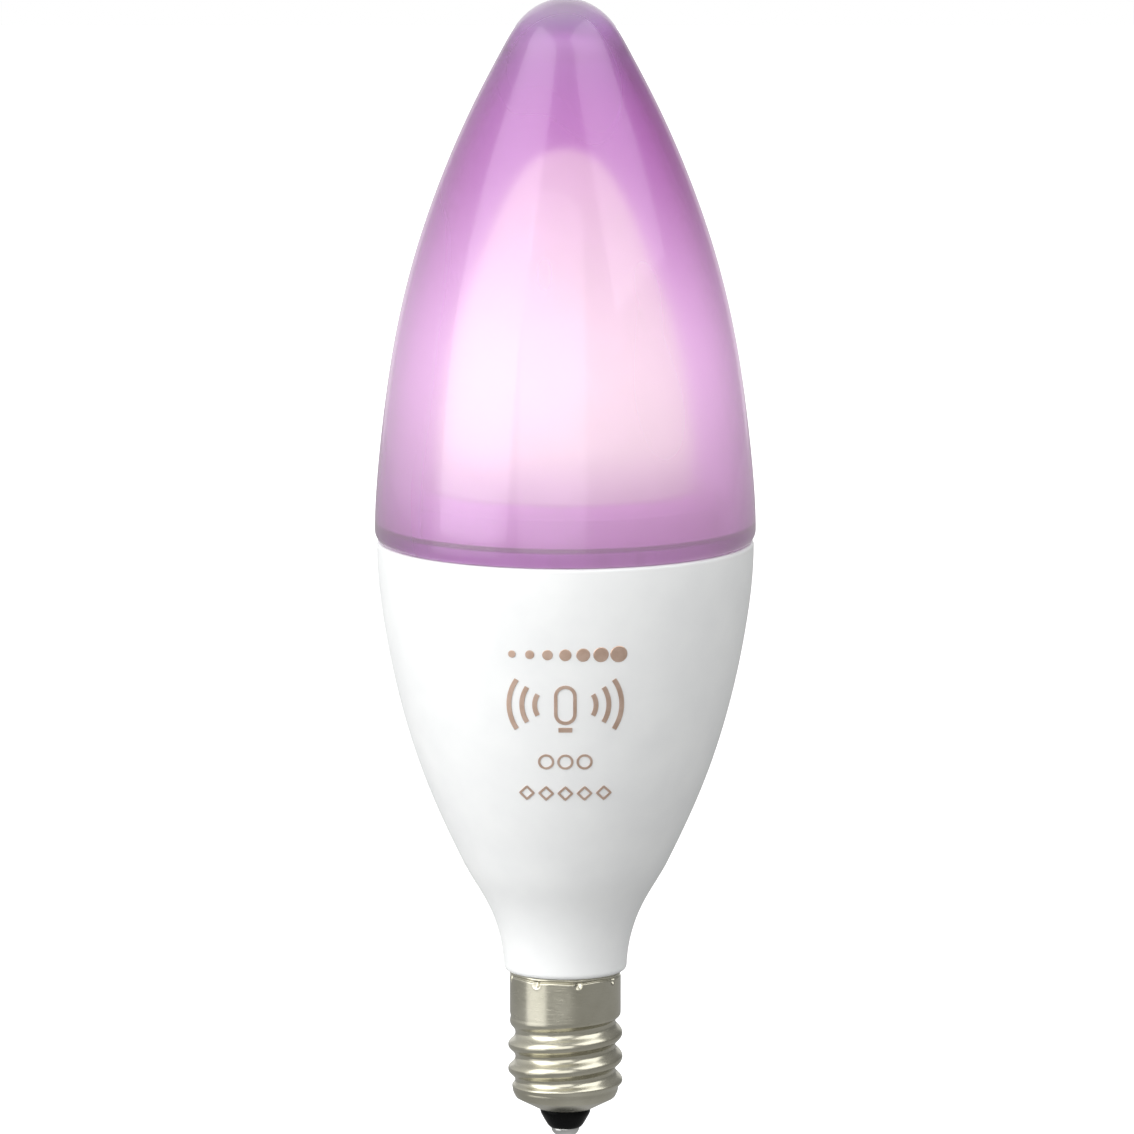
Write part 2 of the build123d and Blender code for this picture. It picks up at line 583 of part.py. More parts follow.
def led_packages():
    packages = []
    window_z = BOARD_TOP_Z + LED_H - LED_WINDOW_DEPTH
    for (x, y), degrees in zip(led_places(), around(LED_COUNT)):
        body = Pos(x, y, BOARD_TOP_Z + LED_H / 2) * Rot(0, 0, degrees) * Box(LED_SIZE, LED_SIZE, LED_H)
        packages.append(body - rod(x, y, window_z, window_z + 1, LED_WINDOW_R))
    return group(packages)


def led_windows(kinds):
    """The filled light windows of the LEDs whose places are listed."""
    floor_z = BOARD_TOP_Z + LED_H - LED_WINDOW_DEPTH
    windows = []
    for i, (x, y) in enumerate(led_places()):
        if i in kinds:
            windows.append(rod(x, y, floor_z, floor_z + LED_WINDOW_DEPTH - 0.03, LED_WINDOW_R - 0.02))
    return group(windows)


def led_socket():
    socket = block(-5.5, 5.5, -1.75, 0.05, BOARD_TOP_Z, BOARD_TOP_Z + 1.9)
    for x in centred(HEADER_PINS, HEADER_PITCH):
        socket -= block(x - 0.28, x + 0.28, -1.03, -0.47, BOARD_TOP_Z - 1, BOARD_TOP_Z + 3)
    return socket


def led_header_pins():
    return group(block(x - 0.25, x + 0.25, -1.0, -DRIVER_HALF, 53.0, BOARD_TOP_Z + 2.1)
                 for x in centred(HEADER_PINS, HEADER_PITCH))


# ======================================================================================
# heat sink and driver
# ======================================================================================
def cup_like(outer_wall, wall, straight_r, top_z):
    """A shell that follows the housing's wall low down and runs straight up to top_z."""
    outer = inset(HOUSING_OUTLINE, outer_wall)[CUP_FIRST:CUP_LAST]
    inner = inset(HOUSING_OUTLINE, outer_wall + wall)[CUP_FIRST:CUP_LAST]
    outer_bend, inner_bend = (straight_r, CUP_STRAIGHT_Z), (straight_r - wall, CUP_STRAIGHT_Z)
    return turned(
        Spline(*outer, outer_bend),
        Polyline(outer_bend, (straight_r, top_z), (straight_r - wall, top_z), inner_bend),
        Spline(inner_bend, *reversed(inner)),
        Line(inner[0], outer[0]),
    )


def heat_sink_cup():
    return cup_like(HOUSING_WALL + CUP_GAP, CUP_WALL, CUP_R, PLATE_BOTTOM_Z)


def driver_sleeve():
    return cup_like(
        HOUSING_WALL + CUP_GAP + CUP_WALL + SLEEVE_GAP, SLEEVE_WALL,
        CUP_R - CUP_WALL - SLEEVE_GAP, SLEEVE_TOP_Z,
    )


def driver_board():
    right = DRIVER_OUTLINE
    left = [(-x, z) for x, z in reversed(right)]
    plate = make_face(Polyline(*right, *left, close=True))
    return extrude(Plane.XZ * plate, amount=DRIVER_HALF, both=True)


def radio_board():
    return block(-RADIO_HALF_X, RADIO_HALF_X, RADIO_FACE_Y, RADIO_BACK_Y, RADIO_BOTTOM_Z, RADIO_TOP_Z)


def radio_shield():
    """Pressed can over the radio, open towards the board."""
    x0, x1, y0, y1, z0, z1 = SHIELD_BOX
    t = SHIELD_SHEET
    return block(*SHIELD_BOX) - block(x0 + t, x1 - t, y0 - 1, y1 - t, z0 + t, z1 - t)


def radio_chip():
    return block(*RADIO_CHIP_BOX)


def radio_antenna():
    """Meandering copper strip above the metal of the board, where the radio can see out."""
    half, strip = ANTENNA_HALF_X, ANTENNA_STRIP
    back = RADIO_BACK_Y + ANTENNA_FOIL
    trace = block(-half, -half + strip, RADIO_BACK_Y, back, ANTENNA_FEED_Z, ANTENNA_FIRST_Z + 0.4)
    for row in range(ANTENNA_ROWS):
        z = ANTENNA_FIRST_Z + row * ANTENNA_PITCH
        trace += block(-half, half, RADIO_BACK_Y, back, z, z + strip)
        if row < ANTENNA_ROWS - 1:
            x = half - strip if row % 2 == 0 else -half
            trace += block(x, x + strip, RADIO_BACK_Y, back, z, z + ANTENNA_PITCH + strip)
    return trace


def radio_pins():
    return group(block(x - 0.3, x + 0.3, DRIVER_HALF, RADIO_FACE_Y, 47.2, 48.4) for x in RADIO_PIN_XS)


def capacitor_can(cap):
    """Drawn can with a scored cross in its top, where it vents."""
    x, y, radius, low, high, _ = cap
    can = rod(x, y, low, high, radius)
    reach, score = radius * 0.7, 0.12
    vent = block(x - reach, x + reach, y - score, y + score, high - 0.15, high + 1)
    vent += block(x - score, x + score, y - reach, y + reach, high - 0.15, high + 1)
    return can - vent


def capacitor_sleeve(cap):
    x, y, radius, low, high, _ = cap
    wrap = rod(x, y, low - 0.15, high + 0.15, radius + 0.14)
    wrap -= rod(x, y, low - 0.02, high + 0.02, radius + 0.01)
    return wrap - rod(x, y, low - 1, high + 1, radius - 0.45)


def capacitor_bungs():
    return group(rod(x, y, low - CAP_BUNG_H, low, radius - 0.5)
                 for x, y, radius, low, _, _ in (BULK_CAP, OUTPUT_CAP))


def capacitor_leads():
    leads = []
    for x, y, _, low, _, spacing in (BULK_CAP, OUTPUT_CAP):
        top, bottom = low - CAP_BUNG_H, low - 2.0
        for at in (x - spacing, x + spacing):
            leads.append(wire_solid([(at, y, top), (at, y, bottom), (at, -DRIVER_HALF, bottom)], LEAD_R, 0.6))
    return group(leads)


def transformer_core():
    """Two ferrite E halves that meet in the middle."""
    y0, y1 = TRANSFORMER_Y - CORE_HALF_Y, TRANSFORMER_Y + CORE_HALF_Y
    window_x = CORE_HALF_X - CORE_LIMB
    core = block(-CORE_HALF_X, CORE_HALF_X, y0, y1, CORE_LOW_Z, CORE_HIGH_Z)
    core -= block(-window_x, window_x, y0 - 1, y1 + 1, WINDOW_LOW_Z, WINDOW_HIGH_Z)
    core += rod(0, TRANSFORMER_Y, WINDOW_LOW_Z - 0.2, WINDOW_HIGH_Z + 0.2, LEG_R)
    middle, half_gap = (CORE_LOW_Z + CORE_HIGH_Z) / 2, 0.03
    gap = block(-CORE_HALF_X - 1, CORE_HALF_X + 1, y0 - 1, y1 + 1, middle - half_gap, middle + half_gap)
    return group((core - gap).solids())


def transformer_bobbin():
    """Spool between two flanges, each with a rail that holds the pins."""
    low, high, flange = WINDOW_LOW_Z + 0.05, WINDOW_HIGH_Z - 0.05, 0.45
    spool = rod(0, TRANSFORMER_Y, low, high, LEG_R + 0.40)
    spool += rod(0, TRANSFORMER_Y, low, low + flange, SPOOL_R)
    spool += rod(0, TRANSFORMER_Y, high - flange, high, SPOOL_R)
    spool += block(-4.0, 4.0, 0.9, 2.2, low - 0.85, low + flange)
    spool += block(-4.0, 4.0, 0.9, 2.2, high - flange, high + 0.85)
    return spool - rod(0, TRANSFORMER_Y, low - 3, high + 3, LEG_R + 0.08)


def transformer_winding():
    return tube(0, TRANSFORMER_Y, WINDOW_LOW_Z + 0.55, WINDOW_HIGH_Z - 0.55, LEG_R + 0.42, SPOOL_R - 0.15)


def transformer_tape():
    y0, y1 = TRANSFORMER_Y - 0.9, TRANSFORMER_Y + 0.9
    near, far = 0.02, 0.14
    band = block(-CORE_HALF_X - far, CORE_HALF_X + far, y0, y1, CORE_LOW_Z - far, CORE_HIGH_Z + far)
    return band - block(-CORE_HALF_X - near, CORE_HALF_X + near, y0 - 1, y1 + 1,
                        CORE_LOW_Z - near, CORE_HIGH_Z + near)


def transformer_pins():
    return group(rod_y(x, z, DRIVER_HALF, 0.9, LEAD_R) for x in (-3, 0, 3) for z in (38.2, 44.3))


def choke_core():
    drum = rod(0, CHOKE_Y, CHOKE_LOW_Z, CHOKE_HIGH_Z, CHOKE_LEG_R)
    drum += rod(0, CHOKE_Y, CHOKE_LOW_Z, CHOKE_LOW_Z + CHOKE_FLANGE_H, CHOKE_FLANGE_R)
    return drum + rod(0, CHOKE_Y, CHOKE_HIGH_Z - CHOKE_FLANGE_H, CHOKE_HIGH_Z, CHOKE_FLANGE_R)


def choke_winding():
    low, high = CHOKE_LOW_Z + CHOKE_FLANGE_H + 0.03, CHOKE_HIGH_Z - CHOKE_FLANGE_H - 0.03
    return tube(0, CHOKE_Y, low, high, CHOKE_LEG_R + 0.02, CHOKE_FLANGE_R - 0.3)


def choke_leads():
    return group(rod_y(x, CHOKE_LOW_Z + 0.4, -1.5, -DRIVER_HALF, LEAD_R) for x in (-1.2, 1.2))


def film_capacitor():
    return fillet(block(*FILM_CAP_BOX).edges().filter_by(Axis.Y), 0.4)


def varistor():
    disc = Pos(0, VARISTOR_Y, VARISTOR_Z) * Rot(90, 0, 0) * Cylinder(VARISTOR_R, VARISTOR_T)
    return fillet(disc.edges().filter_by(GeomType.CIRCLE), 0.6)


def rear_part_leads():
    """Leads of the film capacitor and the varistor, down to the driver board."""
    return group(rod_y(x, z, DRIVER_HALF, 0.88, LEAD_R) for x, z in REAR_LEAD_PLACES)


def bridge_rectifier():
    return block(*RECTIFIER_BOX)


def span(a, b):
    """Two places in order."""
    return min(a, b), max(a, b)


def rectifier_leads():
    """Four gull-wing leads: out of the body's ends and down to the board."""
    leads = []
    for x in (-RECTIFIER_LEAD_X, RECTIFIER_LEAD_X):
        for way, edge in ((-1, RECTIFIER_BOX[4]), (1, RECTIFIER_BOX[5])):
            knee = edge + way * 0.5
            out = block(x - 0.3, x + 0.3, RECTIFIER_LEAD_Y, RECTIFIER_LEAD_Y + 0.2, *span(edge, knee))
            down = block(x - 0.3, x + 0.3, RECTIFIER_LEAD_Y, -DRIVER_HALF, *span(knee, knee + way * 0.2))
            leads.append(out + down)
    return group(leads)


def fusible_resistor():
    """Lacquered body, thicker over the end caps."""
    body = rod(0, FUSE_Y, FUSE_LOW_Z + 0.3, FUSE_HIGH_Z - 0.3, FUSE_R)
    body += rod(0, FUSE_Y, FUSE_LOW_Z, FUSE_LOW_Z + FUSE_CAP_H, FUSE_CAP_R)
    return body + rod(0, FUSE_Y, FUSE_HIGH_Z - FUSE_CAP_H, FUSE_HIGH_Z, FUSE_CAP_R)


def live_leads():
    """The resistor's upper lead to the board, and its lower lead down into the contact pin."""
    wire_r, bend = 0.30, 0.7
    joint_z = FUSE_HIGH_Z + 2.2
    upper = [(0, FUSE_Y, FUSE_HIGH_Z), (0, FUSE_Y, joint_z), (0, -DRIVER_HALF, joint_z)]
    lower = [(0, FUSE_Y, FUSE_LOW_Z), (0, FUSE_Y, 8.6), (0, 0, 7.6), (0, 0, 2.4)]
    return group([wire_solid(upper, wire_r, bend), wire_solid(lower, wire_r, bend)])


def neutral_lead():
    """Bare wire from the board, round the neck's end and up its groove against the screw shell."""
    lead_x = neutral_lead_x()
    low_z, board_x, joint_z = NECK_END_Z - 0.30, 2.5, 12.6
    points = [
        (board_x, -DRIVER_HALF, joint_z), (board_x, NEUTRAL_Y, joint_z), (board_x, NEUTRAL_Y, low_z),
        (lead_x, NEUTRAL_Y, low_z), (lead_x, NEUTRAL_Y, GROOVE_TOP_Z - 0.3),
    ]
    return wire_solid(points, NEUTRAL_R, 0.45)


def chips():
    return group(block(x - CHIP_HALF_X, x + CHIP_HALF_X, DRIVER_HALF + 0.15, 2.1, CHIP_LOW_Z, CHIP_HIGH_Z)
                 for x in (-CHIP_X, CHIP_X))


def chip_lead(x, way, z):
    """A gull-wing lead: out of the chip's side, down, and out again along the board."""
    near, knee, toe = (x + way * (CHIP_HALF_X + reach) for reach in (0, 0.6, 0.9))
    sheet, half = 0.2, 0.2
    lead = block(*span(near, knee), 1.1, 1.1 + sheet, z - half, z + half)
    lead += block(*span(knee, knee - way * sheet), DRIVER_HALF, 1.1 + sheet, z - half, z + half)
    return lead + block(*span(knee, toe), DRIVER_HALF, DRIVER_HALF + sheet, z - half, z + half)


def chip_leads():
    return group(chip_lead(x, way, z) for x in (-CHIP_X, CHIP_X) for way in (-1, 1) for z in CHIP_LEAD_ZS)


def diodes():
    half_x, half_z = 1.3, 2.1
    return group(block(x - half_x, x + half_x, -2.7, -DRIVER_HALF - 0.05, z - half_z, z + half_z)
                 for x, z in DIODE_PLACES)


def chip_passives(x, length):
    """A column of chip resistors or capacitors on the board's back."""
    half_x, top = 0.62, DRIVER_HALF + 0.55
    return group(block(x - half_x, x + half_x, DRIVER_HALF, top, z - length / 2, z + length / 2)
                 for z in PASSIVE_ZS)


# ======================================================================================
# the assembly, one STEP file for each node
# ======================================================================================
PIECES = {
    "screw_shell": screw_shell,
    "insulator": insulator,
    "center_contact": center_contact,
    "contact_solder": contact_solder,
    "housing": housing,
    "printed_mark": printed_mark,
    "globe": globe,
    "globe_seal": globe_seal,
    "mixing_dome": mixing_dome,
    "dome_collar": dome_collar,
    "led_board": led_board,
    "led_board_screws": led_board_screws,
    "led_packages": led_packages,
    "led_warm_white": lambda: led_windows((0, 4, 8)),
    "led_cool_white": lambda: led_windows((2, 6, 10)),
    "led_red": lambda: led_windows((1, 7)),
    "led_green": lambda: led_windows((3, 9)),
    "led_blue": lambda: led_windows((5, 11)),
    "led_socket": led_socket,
    "led_header_pins": led_header_pins,
    "thermal_pad": thermal_pad,
    "heat_spreader": heat_spreader,
    "heat_sink_cup": heat_sink_cup,
    "driver_sleeve": driver_sleeve,
    "driver_board": driver_board,
    "radio_board": radio_board,
    "radio_shield": radio_shield,
    "radio_chip": radio_chip,
    "radio_antenna": radio_antenna,
    "radio_pins": radio_pins,
    "bulk_capacitor_can": lambda: capacitor_can(BULK_CAP),
    "bulk_capacitor_sleeve": lambda: capacitor_sleeve(BULK_CAP),
    "output_capacitor_can": lambda: capacitor_can(OUTPUT_CAP),
    "output_capacitor_sleeve": lambda: capacitor_sleeve(OUTPUT_CAP),
    "capacitor_bungs": capacitor_bungs,
    "capacitor_leads": capacitor_leads,
    "transformer_core": transformer_core,
    "transformer_bobbin": transformer_bobbin,
    "transformer_winding": transformer_winding,
    "transformer_tape": transformer_tape,
    "transformer_pins": transformer_pins,
    "choke_core": choke_core,
    "choke_winding": choke_winding,
    "choke_leads": choke_leads,
    "film_capacitor": film_capacitor,
    "varistor": varistor,
    "rear_part_leads": rear_part_leads,
    "bridge_rectifier": bridge_rectifier,
    "rectifier_leads": rectifier_leads,
    "fusible_resistor": fusible_resistor,
    "live_leads": live_leads,
    "neutral_lead": neutral_lead,
    "driver_chips": chips,
    "driver_chip_leads": chip_leads,
    "diodes": diodes,
    "chip_resistors": lambda: chip_passives(-6.6, 2.0),
    "chip_capacitors": lambda: chip_passives(6.6, 1.6),
}

os.makedirs("parts", exist_ok=True)
for name, make in PIECES.items():
    export_step(make(), f"parts/{name}.step")
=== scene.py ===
import math

import bmesh
import bpy
import numpy as np
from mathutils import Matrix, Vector


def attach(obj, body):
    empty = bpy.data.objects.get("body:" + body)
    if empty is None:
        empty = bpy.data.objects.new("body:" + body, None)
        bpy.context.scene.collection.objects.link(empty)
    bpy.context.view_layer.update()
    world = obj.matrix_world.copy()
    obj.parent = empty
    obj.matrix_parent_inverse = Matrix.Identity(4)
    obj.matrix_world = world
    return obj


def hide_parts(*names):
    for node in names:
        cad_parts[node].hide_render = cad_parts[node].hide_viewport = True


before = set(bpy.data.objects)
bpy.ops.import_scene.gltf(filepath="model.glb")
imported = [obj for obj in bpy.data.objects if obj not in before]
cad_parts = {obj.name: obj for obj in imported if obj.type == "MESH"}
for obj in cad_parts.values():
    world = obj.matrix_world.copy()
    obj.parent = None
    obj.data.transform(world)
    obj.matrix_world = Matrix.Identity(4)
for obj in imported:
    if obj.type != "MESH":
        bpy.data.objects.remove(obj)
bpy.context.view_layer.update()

MM = 0.001
TURN = 2 * math.pi
FINE, MEDIUM = 288, 160      # faces round a turned piece
CORNER_STEPS = 4             # softened makes a corner of one more point than this


# ---------------------------------------------------------------- outlines, in millimetres
def spline(points, start, end, per_span):
    """A smooth line through points that leaves along start and arrives along end."""
    p = np.array(points, float)
    h = np.linalg.norm(np.diff(p, axis=0), axis=1)
    n = len(p)
    a, b = np.zeros((n, n)), np.zeros((n, 2))
    a[0, 0] = a[-1, -1] = 1
    b[0] = np.array(start) / np.linalg.norm(start)
    b[-1] = np.array(end) / np.linalg.norm(end)
    for i in range(1, n - 1):
        a[i, i - 1], a[i, i], a[i, i + 1] = h[i], 2 * (h[i - 1] + h[i]), h[i - 1]
        b[i] = 3 * (h[i] * (p[i] - p[i - 1]) / h[i - 1] + h[i - 1] * (p[i + 1] - p[i]) / h[i])
    slope = np.linalg.solve(a, b)
    line = []
    for i in range(n - 1):
        for k in range(per_span):
            s = k / per_span
            line.append((2 * s**3 - 3 * s**2 + 1) * p[i] + (s**3 - 2 * s**2 + s) * h[i] * slope[i]
                        + (3 * s**2 - 2 * s**3) * p[i + 1] + (s**3 - s**2) * h[i] * slope[i + 1])
    line.append(p[-1])
    return [tuple(q) for q in line]


def arc(a, middle, b, steps):
    """Points of the arc from a through middle to b."""
    ax, ay, bx, by, cx, cy = *a, *middle, *b
    d = 2 * (ax * (by - cy) + bx * (cy - ay) + cx * (ay - by))
    ux = ((ax**2 + ay**2) * (by - cy) + (bx**2 + by**2) * (cy - ay) + (cx**2 + cy**2) * (ay - by)) / d
    uy = ((ax**2 + ay**2) * (cx - bx) + (bx**2 + by**2) * (ax - cx) + (cx**2 + cy**2) * (bx - ax)) / d
    r = math.hypot(ax - ux, ay - uy)
    t0, t1, t2 = (math.atan2(y - uy, x - ux) for x, y in (a, middle, b))
    sweep, part = (t2 - t0) % TURN, (t1 - t0) % TURN
    if part > sweep:
        sweep -= TURN
    return [(ux + r * math.cos(t0 + sweep * k / steps), uy + r * math.sin(t0 + sweep * k / steps))
            for k in range(steps + 1)]


def inset(outline, wall):
    """The outline, listed upwards, moved inwards by wall, square to itself."""
    moved = []
    for i, (r, z) in enumerate(outline):
        r0, z0 = outline[max(i - 1, 0)]
        r1, z1 = outline[min(i + 1, len(outline) - 1)]
        run = math.hypot(r1 - r0, z1 - z0)
        moved.append((r - wall * (z1 - z0) / run, z + wall * (r1 - r0) / run))
    return moved


def softened(points, radius, steps=CORNER_STEPS):
    """A closed outline with each of its corners rounded by up to radius."""
    out = []
    n = len(points)
    for i in range(n):
        p, q, s = (np.array(points[j % n], float) for j in (i - 1, i, i + 1))
        u, v = p - q, s - q
        lu, lv = np.linalg.norm(u), np.linalg.norm(v)
        on_axis = q[0] < 1e-6
        straight = lu < 1e-9 or lv < 1e-9 or abs(u[0] * v[1] - u[1] * v[0]) < 0.2 * lu * lv
        if on_axis or straight:
            out.append(tuple(q))
            continue
        cut = min(radius, 0.4 * lu, 0.4 * lv)
        a, b = q + u / lu * cut, q + v / lv * cut
        for k in range(steps + 1):
            t = k / steps
            out.append(tuple((1 - t) ** 2 * a + 2 * t * (1 - t) * q + t**2 * b))
    return out


# ---------------------------------------------------------------- meshes
def piece(name, verts, faces, crease=35.0):
    """A smooth-shaded piece with its edges sharper than crease left sharp. verts are in metres."""
    mesh = bpy.data.meshes.new(name)
    mesh.from_pydata([tuple(v) for v in verts], [], faces)
    made = bmesh.new()
    made.from_mesh(mesh)
    bmesh.ops.remove_doubles(made, verts=made.verts, dist=1e-7)
    bmesh.ops.recalc_face_normals(made, faces=made.faces)
    made.to_mesh(mesh)
    made.free()
    mesh.shade_smooth()
    mesh.set_sharp_from_angle(angle=math.radians(crease))
    obj = bpy.data.objects.new(name, mesh)
    bpy.context.scene.collection.objects.link(obj)
    return obj


def rows_piece(name, rows, around, crease=35.0):
    """A closed surface of rows of points round the axis; a row of one point is a pole."""
    verts, index = [], []
    for row in rows:
        index.append(range(len(verts), len(verts) + len(row)))
        verts += [Vector(p) * MM for p in row]
    faces = []
    for a, b in zip(index, index[1:] + index[:1]):
        if len(a) == len(b) == 1:
            continue
        for k in range(around):
            j = (k + 1) % around
            corners = [a[k % len(a)], a[j % len(a)], b[j % len(b)], b[k % len(b)]]
            faces.append(list(dict.fromkeys(corners)))
    return piece(name, verts, faces, crease)


def turned(name, outline, around=FINE, crease=35.0):
    """A piece turned about the bulb's axis from a closed outline of (radius, height)."""
    rows = []
    for r, z in outline:
        if r < 1e-6:
            rows.append([(0, 0, z)])
        else:
            rows.append([(r * math.cos(TURN * k / around), r * math.sin(TURN * k / around), z)
                         for k in range(around)])
    return rows_piece(name, rows, around, crease)


def place(obj, material, slot, *nodes):
    obj.data.materials.clear()
    obj.data.materials.append(material)
    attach(obj, "root")
    if nodes:
        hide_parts(*nodes)
    return obj


# ---------------------------------------------------------------- finishes
class Finish:
    """A Principled material whose colour, gloss and relief come from procedural textures."""

    def __init__(self, name, **fixed):
        self.material = bpy.data.materials.new(name)
        self.material.use_nodes = True
        self.tree = self.material.node_tree
        self.shader = self.tree.nodes["Principled BSDF"]
        self.coords = self.tree.nodes.new("ShaderNodeTexCoord").outputs["Object"]
        self.normal = None
        for socket, value in fixed.items():
            self.shader.inputs[socket.replace("_", " ")].default_value = value

    def node(self, kind, **settings):
        made = self.tree.nodes.new(kind)
        for key, value in settings.items():
            setattr(made, key, value)
        return made

    def link(self, a, b):
        self.tree.links.new(a, b)

    def texture(self, kind, scale, stretch=(1, 1, 1), **inputs):
        """A texture's value, scale cells to the metre, squeezed by stretch along each axis."""
        mapping = self.node("ShaderNodeMapping")
        mapping.inputs["Scale"].default_value = stretch
        self.link(self.coords, mapping.inputs["Vector"])
        made = self.node(kind)
        made.inputs["Scale"].default_value = scale
        for key, value in inputs.items():
            if key in made.inputs:
                made.inputs[key].default_value = value
            else:
                setattr(made, key, value)
        self.link(mapping.outputs["Vector"], made.inputs["Vector"])
        return made.outputs["Fac"] if "Fac" in made.outputs else made.outputs["Distance"]

    def ramp(self, value, *stops):
        """Colours at stops of (position, colour), looked up by value."""
        made = self.node("ShaderNodeValToRGB")
        made.color_ramp.interpolation = "B_SPLINE" if len(stops) > 2 else "LINEAR"
        while len(made.color_ramp.elements) < len(stops):
            made.color_ramp.elements.new(0.5)
        for element, (at, colour) in zip(made.color_ramp.elements, stops):
            element.position = at
            element.color = (*colour, 1)
        self.link(value, made.inputs["Fac"])
        return made.outputs["Color"]

    def spread(self, value, low, high, from_low=0.3, from_high=0.7):
        made = self.node("ShaderNodeMapRange")
        made.inputs["From Min"].default_value = from_low
        made.inputs["From Max"].default_value = from_high
        made.inputs["To Min"].default_value = low
        made.inputs["To Max"].default_value = high
        self.link(value, made.inputs["Value"])
        return made.outputs["Result"]

    def height(self):
        """Height above the contact, in metres."""
        made = self.node("ShaderNodeSeparateXYZ")
        self.link(self.coords, made.inputs["Vector"])
        return made.outputs["Z"]

    def colour(self, value, *stops):
        self.link(self.ramp(value, *stops), self.shader.inputs["Base Color"])
        return self

    def gloss(self, value, low, high):
        self.link(self.spread(value, low, high), self.shader.inputs["Roughness"])
        return self

    def relief(self, value, depth, strength=1.0):
        """Bumps of depth metres, on top of any already there."""
        made = self.node("ShaderNodeBump")
        made.inputs["Distance"].default_value = depth
        made.inputs["Strength"].default_value = strength
        self.link(value, made.inputs["Height"])
        if self.normal is not None:
            self.link(self.normal, made.inputs["Normal"])
        self.normal = made.outputs["Normal"]
        self.link(self.normal, self.shader.inputs["Normal"])
        return self


def moulded(name, dark, light, gloss=(0.35, 0.5), grain=1500.0, depth=6e-6, **fixed):
    """Moulded plastic, rubber, ceramic or lacquer: soft mottling and a fine pebble."""
    made = Finish(name, **fixed)
    cloud = made.texture("ShaderNodeTexNoise", grain / 12, Detail=3.0)
    pebble = made.texture("ShaderNodeTexNoise", grain, Detail=2.0)
    made.colour(cloud, (0.3, dark), (0.7, light))
    made.gloss(pebble, *gloss)
    return made.relief(pebble, depth)


def metal(name, dark, light, gloss=(0.18, 0.3), grain=800.0, stretch=(1, 1, 12), depth=3e-6, **fixed):
    """Drawn, rolled or plated metal: hairlines along one way and a soft tarnish."""
    made = Finish(name, Metallic=1.0, **fixed)
    tarnish = made.texture("ShaderNodeTexNoise", grain / 6, Detail=4.0)
    hairline = made.texture("ShaderNodeTexNoise", grain, stretch, Detail=3.0)
    made.colour(tarnish, (0.3, dark), (0.7, light))
    made.gloss(hairline, *gloss)
    return made.relief(hairline, depth)


def wound(name, dark, light, pitch, **fixed):
    """A winding: close turns of lacquered wire, pitch metres apart up the axis."""
    made = Finish(name, **fixed)
    turns = made.texture("ShaderNodeTexWave", TURN / (20 * pitch), bands_direction="Z",
                         Distortion=0.6, Detail=1.0)
    cloud = made.texture("ShaderNodeTexNoise", 300.0, Detail=3.0)
    # painted shade and highlight: each turn is coloured light on its crest and dark in the groove between
    # turns
    made.colour(turns, (0.15, dark), (0.85, light))
    made.gloss(cloud, 0.2, 0.35)
    return made.relief(turns, pitch / 3)


def laminate(name, dark, light, **fixed):
    """A circuit board: lacquer over a weave of glass with tracks just showing through."""
    made = Finish(name, **fixed)
    weave = made.texture("ShaderNodeTexChecker", 2200.0)
    tracks = made.texture("ShaderNodeTexVoronoi", 420.0, distance="MANHATTAN", feature="F1")
    made.colour(tracks, (0.25, dark), (0.75, light))
    made.gloss(weave, 0.22, 0.34)
    return made.relief(tracks, 1.2e-5, 0.6)


# ---------------------------------------------------------------- the bulb's outlines
GLOBE_WALL, DOME_WALL, HOUSING_WALL = 1.4, 1.2, 1.5
GLOBE = [(19.50, 63.4), (19.28, 68.3), (18.65, 74.6), (17.45, 82.8), (15.54, 91.0), (12.78, 99.2),
         (9.20, 107.4), (6.55, 112.5), (5.38, 114.55), (4.05, 116.20), (2.20, 117.40), (0, 117.85)]
DOME = [(13.20, 68.0), (12.50, 77.0), (10.95, 84.8), (8.30, 92.0), (5.20, 98.8), (2.90, 101.4),
        (0, 102.3)]
WAIST = [(6.33, 18.0), (6.62, 20.4), (8.18, 24.8), (10.60, 29.0)]
BELLY = [(10.60, 29.0), (14.33, 37.35), (16.93, 45.6), (18.60, 53.8), (19.30, 61.5), (19.30, 61.75)]
WAIST_SLOPE = (0.44, 0.898)

housing_side = spline(WAIST, (0.05, 1), WAIST_SLOPE, 12)[:-1] + spline(BELLY, WAIST_SLOPE, (0, 1), 12)


def globe_piece():
    """Candle-shaped diffuser: wall, thick tip, shelf and snap-in spigot."""
    inner = inset(GLOBE[1:8], GLOBE_WALL)
    outline = arc((19.02, 62.25), (19.36, 62.72), (19.50, 63.4), 8)[:-1]
    outline += spline(GLOBE, (0, 1), (-1, 0), 14)
    outline += [(0, 114.7)] + arc((2.90, 114.7), (4.25, 113.75), inner[-1], 10)[:-1]
    outline += spline(inner[::-1] + [(18.10, 64.1)], (0.48, -0.87), (0, -1), 14)
    foot = [(17.50, 63.5), (16.60, 63.5), (16.60, 57.7), (17.55, 57.7), (17.80, 58.1), (17.80, 58.5),
            (18.05, 58.75), (18.05, 59.25), (17.80, 59.5), (17.80, 62.25), (19.02, 62.25)]
    # The outline's own ends stand in for the first corner and for most of the last one.
    outline += softened([(18.10, 64.1)] + foot, 0.18)[CORNER_STEPS + 2:-CORNER_STEPS]
    return turned("globe_shell", outline)


def dome_piece():
    """Milky inner dome that mixes the colours, with the flange it is clamped by."""
    inner = inset([(13.20, 63.5)] + DOME[:-1], DOME_WALL)
    outline = spline(DOME, (0, 1), (-1, 0), 12)
    outline += [(0, 101.1)] + spline([(1.0, 101.1)] + inner[::-1][:-1], (1, -0.05), (0, -1), 12)
    outline += [(12.0, 63.5), (14.0, 63.5), (14.0, 64.3), (13.2, 64.3)]
    return turned("dome_shell", outline, MEDIUM)


